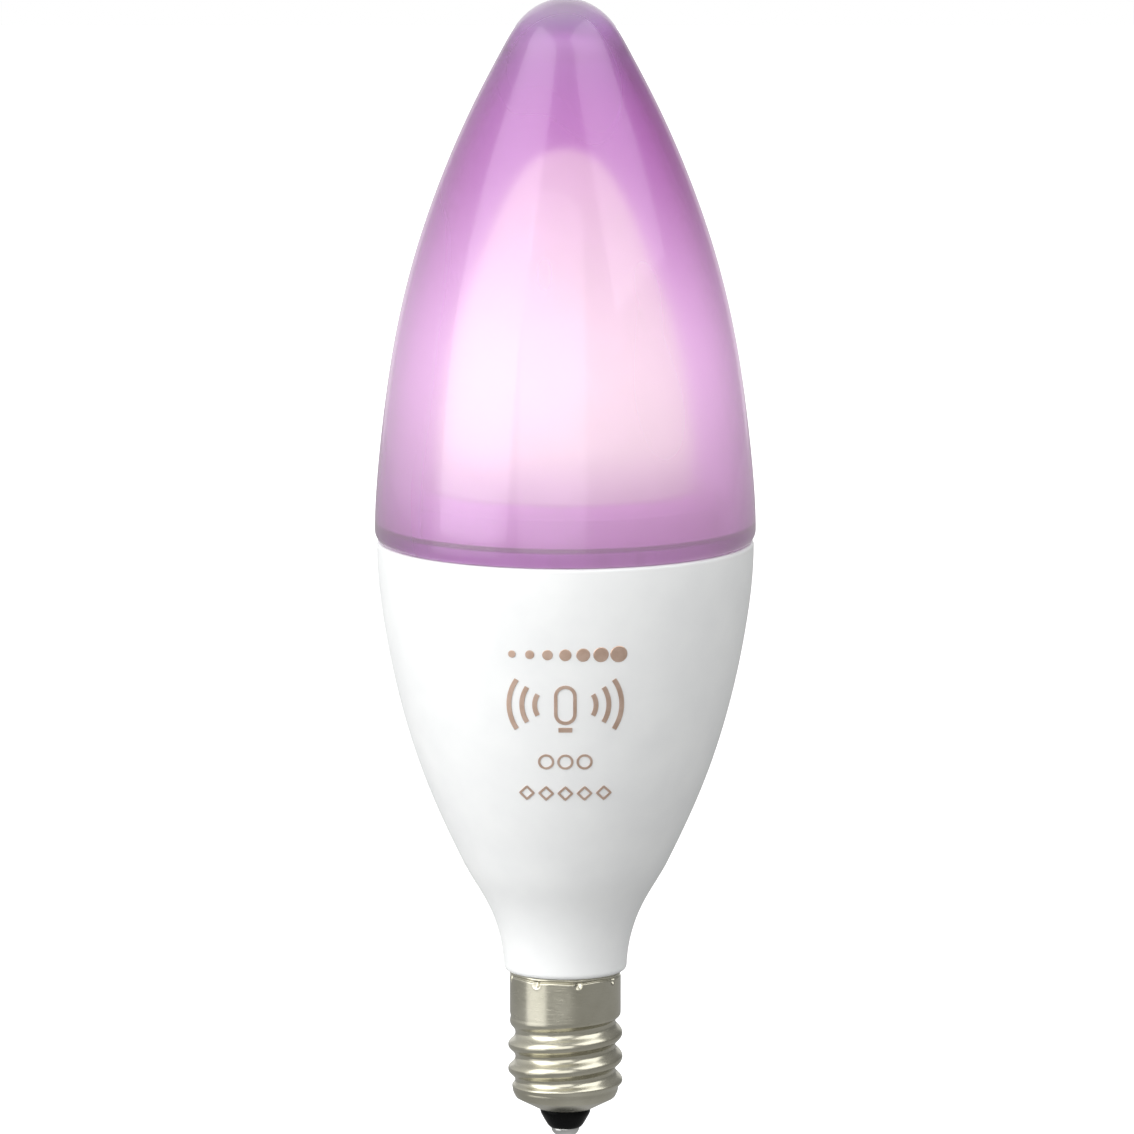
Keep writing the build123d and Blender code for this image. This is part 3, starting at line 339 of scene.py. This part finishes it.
def housing_piece():
    """White casing: rolled rim, waist, belly, the mouth for the globe and the neck in the cap."""
    inner = inset(WAIST[1:] + BELLY[1:4], HOUSING_WALL)
    outline = arc((5.75, 17.45), (6.17, 17.62), (6.33, 18.0), 8)[:-1] + housing_side
    outline += arc((19.30, 61.75), (19.23, 62.02), (19.02, 62.15), 6)[1:]
    outline += [(17.98, 62.15), (17.90, 62.07), (17.90, 61.42), (18.30, 61.42), (18.30, 60.58),
                (17.90, 60.58), (17.90, 59.6), (18.15, 59.4), (18.15, 58.6), (17.90, 58.4),
                (17.90, 57.5)]
    outline += spline([(17.40, 57.5)] + inner[::-1], (-0.05, -1), (-0.1, -1), 8)
    outline += [(4.0, 18.5), (4.0, 6.05), (4.05, 6.0), (4.85, 6.0), (4.9, 6.05), (4.9, 13.3), (5.36, 13.9),
                (5.36, 15.9), (5.08, 16.1), (5.08, 17.3), (5.36, 17.45)]
    return turned("housing_shell", outline)


# ---------------------------------------------------------------- the screw cap
PITCH, TOP_CREST, CREST_R, ROOT_R, SKIRT_R, SHEET = 2.54, 10.85, 5.90, 5.17, 5.72, 0.25
CURL_R = 5.45                # the shell where the curl ends and the thread starts
THREAD_LOW, THREAD_FULL_LOW, THREAD_FULL_HIGH, THREAD_FADE, THREAD_GONE = 5.0, 5.8, 10.6, 12.15, 13.0
BAND_LOW, CRIMPS_LOW, BAND_HIGH, SHELL_TOP = 13.4, 15.8, 17.32, 17.42
SOFT = 0.6                   # share of the thread's wave that is a plain cosine
CREASE_Z, CREASE_SWAY, CREASE_DEPTH, CREASE_HALF = 17.03, 0.05, 0.13, 0.11
BEAD_RISE, BEAD_H, BEAD_HALF = 0.24, 0.05, 0.12
CRIMPS, FIRST_CRIMP, CRIMP_Z = 8, math.radians(-76.5), 16.77
CRIMP_DEPTH, CRIMP_R, CRIMP_SQUARE = 0.26, 0.27, 2.4
LIP_H, LIP_R, LIP_HALF = 0.03, 0.44, 0.12
CAP_AROUND = 280


def smooth(z, low, high):
    """Zero below low, one above high, and an even curve between."""
    t = min(1.0, max(0.0, (z - low) / (high - low)))
    return t * t * (3 - 2 * t)


def thread_r(angle, z):
    """Rolled right-hand thread that runs out into the curl below and the plain band above."""
    grown = smooth(z, THREAD_LOW, THREAD_FULL_LOW)
    envelope = CURL_R + (CREST_R - CURL_R) * grown
    envelope -= (CREST_R - SKIRT_R) * smooth(z, THREAD_FULL_HIGH, THREAD_FADE)
    depth = (envelope - ROOT_R) * grown * (1 - smooth(z, THREAD_FADE, THREAD_GONE))
    wave = 0.5 - 0.5 * math.cos(TURN * ((z - TOP_CREST) / PITCH - angle / TURN))
    return envelope - depth * (SOFT * wave + (1 - SOFT) * smooth(wave, 0, 1))


def band_r(angle, z):
    """Plain band: rolled crease, beaded edge and punched crimps with a raised lip round each."""
    crease = CREASE_Z - CREASE_SWAY * math.cos(CRIMPS * (angle - FIRST_CRIMP))
    r = SKIRT_R - CREASE_DEPTH * math.exp(-(((z - crease) / CREASE_HALF) ** 2))
    r += BEAD_H * math.exp(-(((z - crease - BEAD_RISE) / BEAD_HALF) ** 2))
    share = TURN / CRIMPS
    nearest = (angle - FIRST_CRIMP + share / 2) % share - share / 2
    up = z - CRIMP_Z
    far = math.hypot(nearest * SKIRT_R, up * (1.0 if up > 0 else 0.85))
    r -= CRIMP_DEPTH * math.exp(-((far / CRIMP_R) ** CRIMP_SQUARE))
    return r + LIP_H * math.exp(-(((far - LIP_R) / LIP_HALF) ** 2))


def cap_piece():
    """Screw shell in one skin: curl round the insulator, thread, plain band, edge, and the inside."""
    angles = [TURN * k / CAP_AROUND for k in range(CAP_AROUND)]
    rows = []

    def level(radius, z):
        rows.append([(radius(a) * math.cos(a), radius(a) * math.sin(a), z) for a in angles])

    curl = arc((2.74, 2.97), (2.78, 2.925), (2.86, 2.95), 3) + [(3.5, 3.28), (4.3, 3.69)]
    curl += spline([(5.0, 4.05), (5.26, 4.38), (CURL_R, THREAD_LOW)], (2.2, 1.13), (0, 1), 8)
    for r, z in curl[:-1]:
        level(lambda a: r, z)
    for z in np.linspace(THREAD_LOW, BAND_LOW, 121):
        level(lambda a: thread_r(a, z), z)
    for z in [*np.linspace(BAND_LOW, CRIMPS_LOW, 15)[1:], *np.linspace(CRIMPS_LOW, BAND_HIGH, 76)[1:]]:
        level(lambda a: band_r(a, z), z)
    for lip, drop in ((0.01, 0.06), (0.05, 0.02), (0.13, 0), (SHEET - 0.05, 0), (SHEET, 0.04)):
        level(lambda a: band_r(a, BAND_HIGH) - lip, SHELL_TOP - drop)
    for z in np.linspace(17.3, BAND_LOW, 41)[:-1]:
        level(lambda a: band_r(a, z) - SHEET, z)
    for z in np.linspace(BAND_LOW, THREAD_LOW, 71):
        level(lambda a: thread_r(a, z) - SHEET, z)
    for r, z in ((5.06, 4.62), (4.85, 4.32), (3.7, 3.68), (2.72, 3.17)):
        level(lambda a: r, z)
    return rows_piece("cap_shell", rows, CAP_AROUND, 50)


def insulator_piece():
    """Black glass nose, slightly waisted, with a fire-polished edge, and the disc behind the curl."""
    outline = [(0.80, 0.90), (0.86, 0.87), (1.50, 0.87)]
    outline += spline([(1.55, 0.88), (1.96, 1.35), (2.36, 2.05), (2.60, 2.70)], (1, 0.6), (0, 1), 7)
    outline += [(2.60, 3.20), (4.50, 4.27), (4.55, 4.34), (4.55, 5.34), (4.49, 5.40), (0.80, 5.40)]
    return turned("cap_insulator", outline, MEDIUM)


def contact_piece():
    """Riveted centre contact: domed head with a turned flat, hollow shank and its set collar."""
    outline = [(0, 0.03), (0.22, 0.03), (0.28, 0.0), (0.80, 0.0)]
    outline += arc((0.80, 0.0), (1.25, 0.28), (1.45, 0.75), 9)[1:]
    outline += [(1.44, 0.85), (0.75, 0.85), (0.75, 5.42), (1.26, 5.42), (1.30, 5.48), (1.30, 5.74),
                (1.24, 5.80), (0.46, 5.80), (0.40, 5.74), (0.40, 2.2), (0, 2.2)]
    return turned("cap_contact", outline, MEDIUM, 40)


# ---------------------------------------------------------------- the printed mark
INK_FOOT, INK_EDGE, INK_TOP = 0.025, 0.08, 0.085     # heights above the housing
THICK, BOLD, THIN = 0.50, 0.36, 0.24                 # widths of the strokes
WAVES = ((2.2, 0.53), (3.5, 0.56), (4.8, 0.58))      # radius, and half the sweep
DOT_RADII = (0.38, 0.46, 0.54, 0.62, 0.70, 0.78, 0.86)
DOTS_PITCH, SHAPES_PITCH, RING_R, GEM_R = 1.80, 1.95, 0.70, 0.69
DOTS_Z, LAMP_Z, LAMP_END, LAMP_R, BASE_Z, RINGS_Z, GEMS_Z = 53.3, 48.0, 0.95, 0.97, 45.35, 41.9, 38.45

heights = [z for r, z in housing_side]
radii = [r for r, z in housing_side]


def on_housing(x, z, lift):
    """The point of the housing's front at x and z, in mm, lifted square to the axis."""
    r = float(np.interp(z, heights, radii)) + lift
    return Vector((x, -math.sqrt(r * r - x * x), z)) * MM


def stroke(verts, faces, line, width, closed=False):
    """A stroke of ink along line, a run of (x, z) points, with a flat top and thin sides."""
    p = np.array(line, float)
    if closed:
        way = np.roll(p, -1, 0) - np.roll(p, 1, 0)
    else:
        way = np.gradient(p, axis=0)
    way /= np.linalg.norm(way, axis=1)[:, None]
    side = np.stack([-way[:, 1], way[:, 0]], 1)
    across = (-0.5, -0.46, 0.0, 0.46, 0.5)
    lifts = (INK_FOOT, INK_EDGE, INK_TOP, INK_EDGE, INK_FOOT)
    first = len(verts)
    for q, s in zip(p, side):
        verts += [on_housing(*(q + s * width * w), lift) for w, lift in zip(across, lifts)]
    n, m = len(p), len(across)
    for i in range(n if closed else n - 1):
        j = (i + 1) % n
        for k in range(m):
            faces.append([first + i * m + k, first + j * m + k,
                          first + j * m + (k + 1) % m, first + i * m + (k + 1) % m])
    if not closed:
        faces.append([first + k for k in range(m)])
        faces.append([first + (n - 1) * m + k for k in reversed(range(m))])


def spot(verts, faces, x, z, radius):
    """A round dot of ink."""
    first, around = len(verts), 40
    for share, lift in ((1.0, INK_FOOT), (0.93, INK_EDGE), (0.5, INK_TOP)):
        verts += [on_housing(u, v, lift) for u, v in circle(x, z, radius * share, steps=around)]
    verts.append(on_housing(x, z, INK_TOP))
    verts.append(on_housing(x, z, INK_FOOT))
    for k in range(around):
        j = (k + 1) % around
        for level in (first, first + around):
            faces.append([level + k, level + j, level + around + j, level + around + k])
        faces.append([first + 2 * around + k, first + 2 * around + j, first + 3 * around])
        faces.append([first + j, first + k, first + 3 * around + 1])


def circle(x, z, radius, start=0.0, sweep=TURN, steps=48):
    """Points of a circle, or with a sweep short of a turn of an arc with both of its ends."""
    count = steps if sweep >= TURN else steps + 1
    angles = [start + sweep * k / steps for k in range(count)]
    return [(x + radius * math.cos(a), z + radius * math.sin(a)) for a in angles]


def mark_piece():
    """Generic pictogram: dots as for dimming, a lamp in radio waves, three rings and five gems."""
    verts, faces = [], []
    lamp = circle(0, LAMP_Z + LAMP_END, LAMP_R, 0, math.pi, 20)
    lamp += circle(0, LAMP_Z - LAMP_END, LAMP_R, math.pi, math.pi, 20)
    stroke(verts, faces, lamp, BOLD, closed=True)
    stroke(verts, faces, [(x, BASE_Z) for x in (-0.7, -0.25, 0.25, 0.7)], THICK)
    for side in (0.0, math.pi):
        for radius, half in WAVES:
            wave = circle(0.9 * math.cos(side), LAMP_Z, radius, side - half, 2 * half, 30)
            stroke(verts, faces, wave, THICK)
    for i, radius in enumerate(DOT_RADII):
        spot(verts, faces, (i - 3) * DOTS_PITCH, DOTS_Z, radius)
    for i in (-1, 0, 1):
        stroke(verts, faces, circle(i * SHAPES_PITCH, RINGS_Z, RING_R), THIN, closed=True)
    for i in range(-2, 3):
        corners = np.array([(0, -1), (1, 0), (0, 1), (-1, 0)]) * GEM_R + (i * SHAPES_PITCH, GEMS_Z)
        sides = zip(corners, np.roll(corners, -1, 0))
        gem = [tuple(a + (b - a) * k / 8) for a, b in sides for k in range(8)]
        stroke(verts, faces, gem, THIN, closed=True)
    return piece("mark_ink", verts, faces, 30)


# ---------------------------------------------------------------- finishes of what shows
def globe_finish():
    """Polycarbonate tinted through its thickness, frosted inside and polished outside, with painted light:
    its base colour and glow are banded by height.
    """
    made = Finish("tinted_diffuser", Transmission_Weight=0.95, IOR=1.40, Coat_Weight=0.55,
                  Specular_IOR_Level=0.15, Coat_Roughness=0.06, Coat_IOR=1.5, Emission_Strength=0.29)
    up = made.spread(made.height(), 0, 1, 0.0622, 0.1178)
    cloud = made.texture("ShaderNodeTexNoise", 90.0, (1, 1, 0.5), Detail=0.0)
    # painted shade: the base colour is palest a third of the way up, darker violet high up above the dome,
    # and paler again at the tip
    made.colour(up, (0.0, (0.92, 0.88, 0.92)), (0.10, (0.96, 0.94, 0.96)), (0.3, (0.99, 0.98, 0.99)),
                (0.62, (0.93, 0.87, 0.95)), (0.80, (0.85, 0.75, 0.91)), (0.96, (0.95, 0.93, 0.97)))
    # painted glow: the emission stands in for light from the dome inside. It is dim at the foot, brightest
    # a third of the way up and fades to almost none high up, with a bright spot at the very tip.
    glow = made.ramp(up, (0.0, (0.42, 0.28, 0.36)), (0.12, (0.54, 0.42, 0.45)), (0.35, (1.00, 0.82, 0.88)),
                     (0.6, (0.40, 0.18, 0.32)), (0.8, (0.36, 0.09, 0.27)), (0.94, (0.08, 0.02, 0.07)),
                     (0.975, (1.00, 0.86, 1.00)))
    made.link(glow, made.shader.inputs["Emission Color"])
    made.gloss(cloud, 0.25, 0.28)
    depth = made.node("ShaderNodeVolumeAbsorption")
    depth.inputs["Color"].default_value = (0.56, 0.08, 0.65, 1)
    depth.inputs["Density"].default_value = 550.0
    made.link(depth.outputs["Volume"], made.tree.nodes["Material Output"].inputs["Volume"])
    return made.material


def dome_finish():
    """Milky dome with painted light from below: its glow is even over most of its height, fading to its
    foot.
    """
    made = Finish("milky_dome", Roughness=0.6, Emission_Strength=0.92)
    up = made.spread(made.height(), 0, 1, 0.0635, 0.1023)
    cloud = made.texture("ShaderNodeTexNoise", 260.0, Detail=3.0)
    made.colour(cloud, (0.3, (0.34, 0.34, 0.34)), (0.7, (0.40, 0.40, 0.40)))
    # painted glow: the emission stands in for the light of the LEDs below, which give none themselves
    glow = made.ramp(up, (0.0, (0.20, 0.16, 0.16)), (0.13, (0.30, 0.30, 0.24)), (0.25, (0.66, 0.92, 0.46)),
                     (0.6, (0.70, 1.00, 0.49)), (1.0, (0.84, 1.00, 0.60)))
    made.link(glow, made.shader.inputs["Emission Color"])
    return made.relief(cloud, 1e-5).material


def place_outside():
    white = moulded("white_casing", (0.80, 0.81, 0.81), (0.84, 0.85, 0.845), (0.42, 0.50), 2400.0, 4e-6,
                    Specular_IOR_Level=0.42)
    place(housing_piece(), white.material, "housing", "housing")
    place(globe_piece(), globe_finish(), "globe", "globe")
    place(dome_piece(), dome_finish(), "mixing_dome", "mixing_dome")
    nickel = metal("nickel_shell", (0.47, 0.45, 0.36), (0.63, 0.61, 0.51),
                   (0.18, 0.28), 900.0, (1, 1, 9), 2.5e-6)
    place(cap_piece(), nickel.material, "screw_shell", "screw_shell")
    vitrite = moulded("black_glass", (0.002, 0.002, 0.002), (0.006, 0.006, 0.006),
                      (0.06, 0.16), 1800.0, 9e-6,
                      Specular_IOR_Level=0.06)
    place(insulator_piece(), vitrite.material, "insulator", "insulator")
    rivet = metal("nickel_rivet", (0.60, 0.60, 0.58), (0.74, 0.74, 0.72),
                  (0.12, 0.22), 1500.0, (1, 1, 1), 2e-6)
    place(contact_piece(), rivet.material, "center_contact", "center_contact")
    ink = metal("rose_gold_ink", (0.64, 0.46, 0.36), (0.76, 0.58, 0.48),
                (0.46, 0.56), 5000.0, (1, 1, 1), 2e-6)
    place(mark_piece(), ink.material, "printed_mark", "printed_mark")


def finish_inside():
    """Procedural finishes for the CAD nodes that stay: everything sealed inside."""
    tin = metal("tinned_wire", (0.62, 0.62, 0.60), (0.80, 0.80, 0.78), (0.22, 0.34), 1500.0)
    gold = metal("gold_flash", (0.72, 0.52, 0.22), (0.90, 0.72, 0.38), (0.18, 0.28), 1500.0)
    can = metal("drawn_aluminium", (0.66, 0.67, 0.68), (0.80, 0.81, 0.82), (0.24, 0.36), 900.0, (1, 1, 14))
    sheet = metal("pressed_aluminium", (0.62, 0.63, 0.64), (0.76, 0.77, 0.78),
                  (0.30, 0.44), 700.0, (9, 1, 1))
    black = moulded("black_epoxy", (0.020, 0.020, 0.022), (0.045, 0.045, 0.048), (0.38, 0.55), 3000.0)
    ferrite = moulded("ferrite", (0.05, 0.05, 0.055), (0.10, 0.10, 0.105), (0.55, 0.75), 2600.0, 2e-5)
    copper = wound("enamelled_copper", (0.22, 0.07, 0.02), (0.72, 0.34, 0.14), 1.6e-4, Metallic=0.7)
    package = moulded("led_package", (0.82, 0.82, 0.80), (0.90, 0.90, 0.88), (0.35, 0.5), 3000.0)
    finishes = {
        # painted shade: the collar is coloured a dim violet rather than white, so the globe's lower band
        # reads darker
        "dome_collar": moulded("dim_violet_collar", (0.60, 0.40, 0.60), (0.70, 0.50, 0.70), (0.5, 0.65)),
        "globe_seal": moulded("silicone_seal", (0.55, 0.55, 0.55), (0.68, 0.68, 0.68), (0.3, 0.45)),
        "contact_solder": metal("solder", (0.60, 0.60, 0.60), (0.78, 0.78, 0.78),
                                (0.16, 0.3), 900.0, (1, 1, 1), 1e-5),
        "led_board": laminate("white_mask", (0.78, 0.78, 0.76), (0.90, 0.90, 0.89)),
        "led_board_screws": metal("zinc_screw", (0.55, 0.56, 0.57), (0.72, 0.73, 0.74), (0.25, 0.4)),
        "led_packages": package,
        "led_warm_white": moulded("warm_phosphor", (0.85, 0.50, 0.12), (0.96, 0.66, 0.22),
                                  (0.2, 0.35), 4000.0),
        "led_cool_white": moulded("cool_phosphor", (0.82, 0.74, 0.22), (0.95, 0.88, 0.38),
                                  (0.2, 0.35), 4000.0),
        "led_red": moulded("red_die", (0.60, 0.06, 0.04), (0.85, 0.16, 0.12), (0.1, 0.2), 2500.0),
        "led_green": moulded("green_die", (0.12, 0.50, 0.12), (0.30, 0.78, 0.30), (0.1, 0.2), 2500.0),
        "led_blue": moulded("blue_die", (0.08, 0.14, 0.60), (0.22, 0.32, 0.88), (0.1, 0.2), 2500.0),
        "led_socket": moulded("cream_nylon", (0.74, 0.70, 0.60), (0.84, 0.80, 0.70), (0.4, 0.55)),
        "led_header_pins": gold,
        "radio_pins": gold,
        "radio_antenna": gold,
        "thermal_pad": moulded("thermal_silicone", (0.30, 0.33, 0.38), (0.42, 0.45, 0.50),
                               (0.6, 0.75), 1200.0, 2e-5),
        "heat_spreader": sheet,
        "heat_sink_cup": can,
        "driver_sleeve": moulded("natural_sleeve", (0.70, 0.71, 0.66), (0.80, 0.81, 0.77), (0.35, 0.5)),
        "driver_board": laminate("green_mask", (0.015, 0.12, 0.05), (0.03, 0.22, 0.09)),
        "radio_board": laminate("blue_mask", (0.01, 0.04, 0.14), (0.02, 0.08, 0.24)),
        "radio_shield": sheet,
        "radio_chip": black,
        "driver_chips": black,
        "bridge_rectifier": black,
        "diodes": black,
        "chip_resistors": black,
        "chip_capacitors": moulded("tan_ceramic", (0.42, 0.30, 0.18), (0.56, 0.42, 0.28),
                                   (0.3, 0.45), 3000.0),
        "bulk_capacitor_can": can,
        "output_capacitor_can": can,
        "bulk_capacitor_sleeve": moulded("shrink_sleeve_dark", (0.01, 0.015, 0.05), (0.03, 0.04, 0.10),
                                         (0.16, 0.28)),
        "output_capacitor_sleeve": moulded("shrink_sleeve_green", (0.02, 0.07, 0.04), (0.05, 0.13, 0.08),
                                           (0.16, 0.28)),
        "capacitor_bungs": moulded("black_rubber", (0.02, 0.02, 0.02), (0.05, 0.05, 0.05),
                                   (0.65, 0.8), 1500.0, 1e-5),
        "capacitor_leads": tin,
        "transformer_core": ferrite,
        "choke_core": ferrite,
        "transformer_bobbin": moulded("phenolic_bobbin", (0.03, 0.03, 0.03), (0.07, 0.07, 0.065),
                                      (0.4, 0.55)),
        "transformer_winding": copper,
        "choke_winding": copper,
        "transformer_tape": moulded("yellow_tape", (0.70, 0.52, 0.06), (0.85, 0.68, 0.12),
                                    (0.15, 0.3), 1200.0, 1e-5),
        "transformer_pins": tin,
        "choke_leads": tin,
        "film_capacitor": moulded("orange_box", (0.62, 0.22, 0.04), (0.78, 0.32, 0.07), (0.25, 0.4)),
        "varistor": moulded("blue_epoxy", (0.03, 0.10, 0.36), (0.06, 0.18, 0.52),
                            (0.12, 0.25), 500.0, 3e-5),
        "rear_part_leads": tin,
        "rectifier_leads": tin,
        "fusible_resistor": moulded("resistor_lacquer", (0.24, 0.40, 0.34), (0.36, 0.54, 0.46),
                                    (0.2, 0.35), 900.0, 2e-5),
        "live_leads": tin,
        "neutral_lead": tin,
        "driver_chip_leads": tin,
    }
    for name, made in finishes.items():
        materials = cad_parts[name].data.materials
        materials.clear()
        materials.append(made.material)


# ---------------------------------------------------------------- floor, light and camera
FLOOR_Z = -1.50              # the bulb hangs free above the floor, as a lamp does


def studio():
    floor_mesh = bpy.data.meshes.new("floor")
    floor_mesh.from_pydata([(-15, -15, 0), (15, -15, 0), (15, 15, 0), (-15, 15, 0)], [], [(0, 1, 2, 3)])
    floor = bpy.data.objects.new("floor", floor_mesh)
    floor.location.z = FLOOR_Z
    bpy.context.scene.collection.objects.link(floor)
    pale = Finish("pale_floor", Emission_Color=(1, 1, 1, 1))
    cloud = pale.texture("ShaderNodeTexNoise", 2.0, Detail=2.0)
    pale.colour(cloud, (0.3, (0.68, 0.68, 0.68)), (0.7, (0.72, 0.72, 0.72)))
    pale.gloss(cloud, 0.8, 0.9)
    seen = pale.node("ShaderNodeLightPath").outputs["Is Camera Ray"]
    pale.link(pale.spread(seen, 0.0, 1.2, 0, 1), pale.shader.inputs["Emission Strength"])
    floor.data.materials.append(pale.material)

    world = bpy.data.worlds.new("studio")
    bpy.context.scene.world = world
    world.use_nodes = True
    tree = world.node_tree
    sky = tree.nodes["Background"]
    sky.inputs["Color"].default_value = (1, 1, 1, 1)
    out = tree.nodes["World Output"]
    way = tree.nodes.new("ShaderNodeTexCoord")
    split = tree.nodes.new("ShaderNodeSeparateXYZ")
    tree.links.new(way.outputs["Generated"], split.inputs["Vector"])
    side = tree.nodes.new("ShaderNodeMapRange")
    side.inputs["From Min"].default_value = -1.0
    side.inputs["From Max"].default_value = 1.0
    side.inputs["To Min"].default_value = 0.86
    side.inputs["To Max"].default_value = 0.32
    tree.links.new(split.outputs["X"], side.inputs["Value"])
    back = tree.nodes.new("ShaderNodeMapRange")
    back.interpolation_type = "SMOOTHSTEP"
    back.inputs["From Min"].default_value = 0.0
    back.inputs["From Max"].default_value = 1.0
    back.inputs["To Min"].default_value = 0.0
    back.inputs["To Max"].default_value = -0.18
    tree.links.new(split.outputs["Y"], back.inputs["Value"])
    total = tree.nodes.new("ShaderNodeMath")
    total.operation = "ADD"
    tree.links.new(side.outputs["Result"], total.inputs[0])
    tree.links.new(back.outputs["Result"], total.inputs[1])
    tree.links.new(total.outputs["Value"], sky.inputs["Strength"])
    plain = tree.nodes.new("ShaderNodeBackground")
    path = tree.nodes.new("ShaderNodeLightPath")
    mix = tree.nodes.new("ShaderNodeMixShader")
    tree.links.new(path.outputs["Is Camera Ray"], mix.inputs["Fac"])
    tree.links.new(sky.outputs["Background"], mix.inputs[1])
    tree.links.new(plain.outputs["Background"], mix.inputs[2])
    plain.inputs["Color"].default_value = (1, 1, 1, 1)
    tree.links.new(mix.outputs["Shader"], out.inputs["Surface"])


def softbox(name, azimuth, elevation, distance, width, height, power):
    """A soft area light aimed at the bulb's middle. azimuth runs from the camera's side to the right."""
    data = bpy.data.lights.new(name, "AREA")
    data.shape = "RECTANGLE"
    data.size, data.size_y, data.energy = width, height, power
    light = bpy.data.objects.new(name, data)
    a, e = math.radians(azimuth), math.radians(elevation)
    way = Vector((math.sin(a) * math.cos(e), -math.cos(a) * math.cos(e), math.sin(e)))
    light.location = Vector((0, 0, 0.07)) + way * distance
    light.rotation_euler = way.to_track_quat("Z", "Y").to_euler()
    bpy.context.scene.collection.objects.link(light)


def camera():
    data = bpy.data.cameras.new("camera")
    data.sensor_width = 36
    data.lens = 339.05
    data.clip_start, data.clip_end = 0.01, 50
    made = bpy.data.objects.new("camera", data)
    made.location = (0.00017, -1.080, 0.23125)
    aim = Vector((0.00017, 0, 0.05936)) - made.location
    made.rotation_euler = aim.to_track_quat("-Z", "Y").to_euler()
    bpy.context.scene.collection.objects.link(made)
    bpy.context.scene.camera = made


place_outside()
finish_inside()
studio()
softbox("softbox_left", -58, 26, 0.75, 0.72, 0.95, 4.7)
softbox("softbox_right", 62, 44, 0.75, 0.70, 0.65, 2.5)
softbox("front_fill", -8, 14, 0.90, 0.70, 0.75, 2.1)
softbox("low_card", -64, -14, 0.75, 0.62, 0.40, 0.64)
softbox("back_fill", 180, 20, 0.90, 0.90, 0.90, 1.0)
camera()
bpy.context.scene.view_settings.view_transform = "Standard"
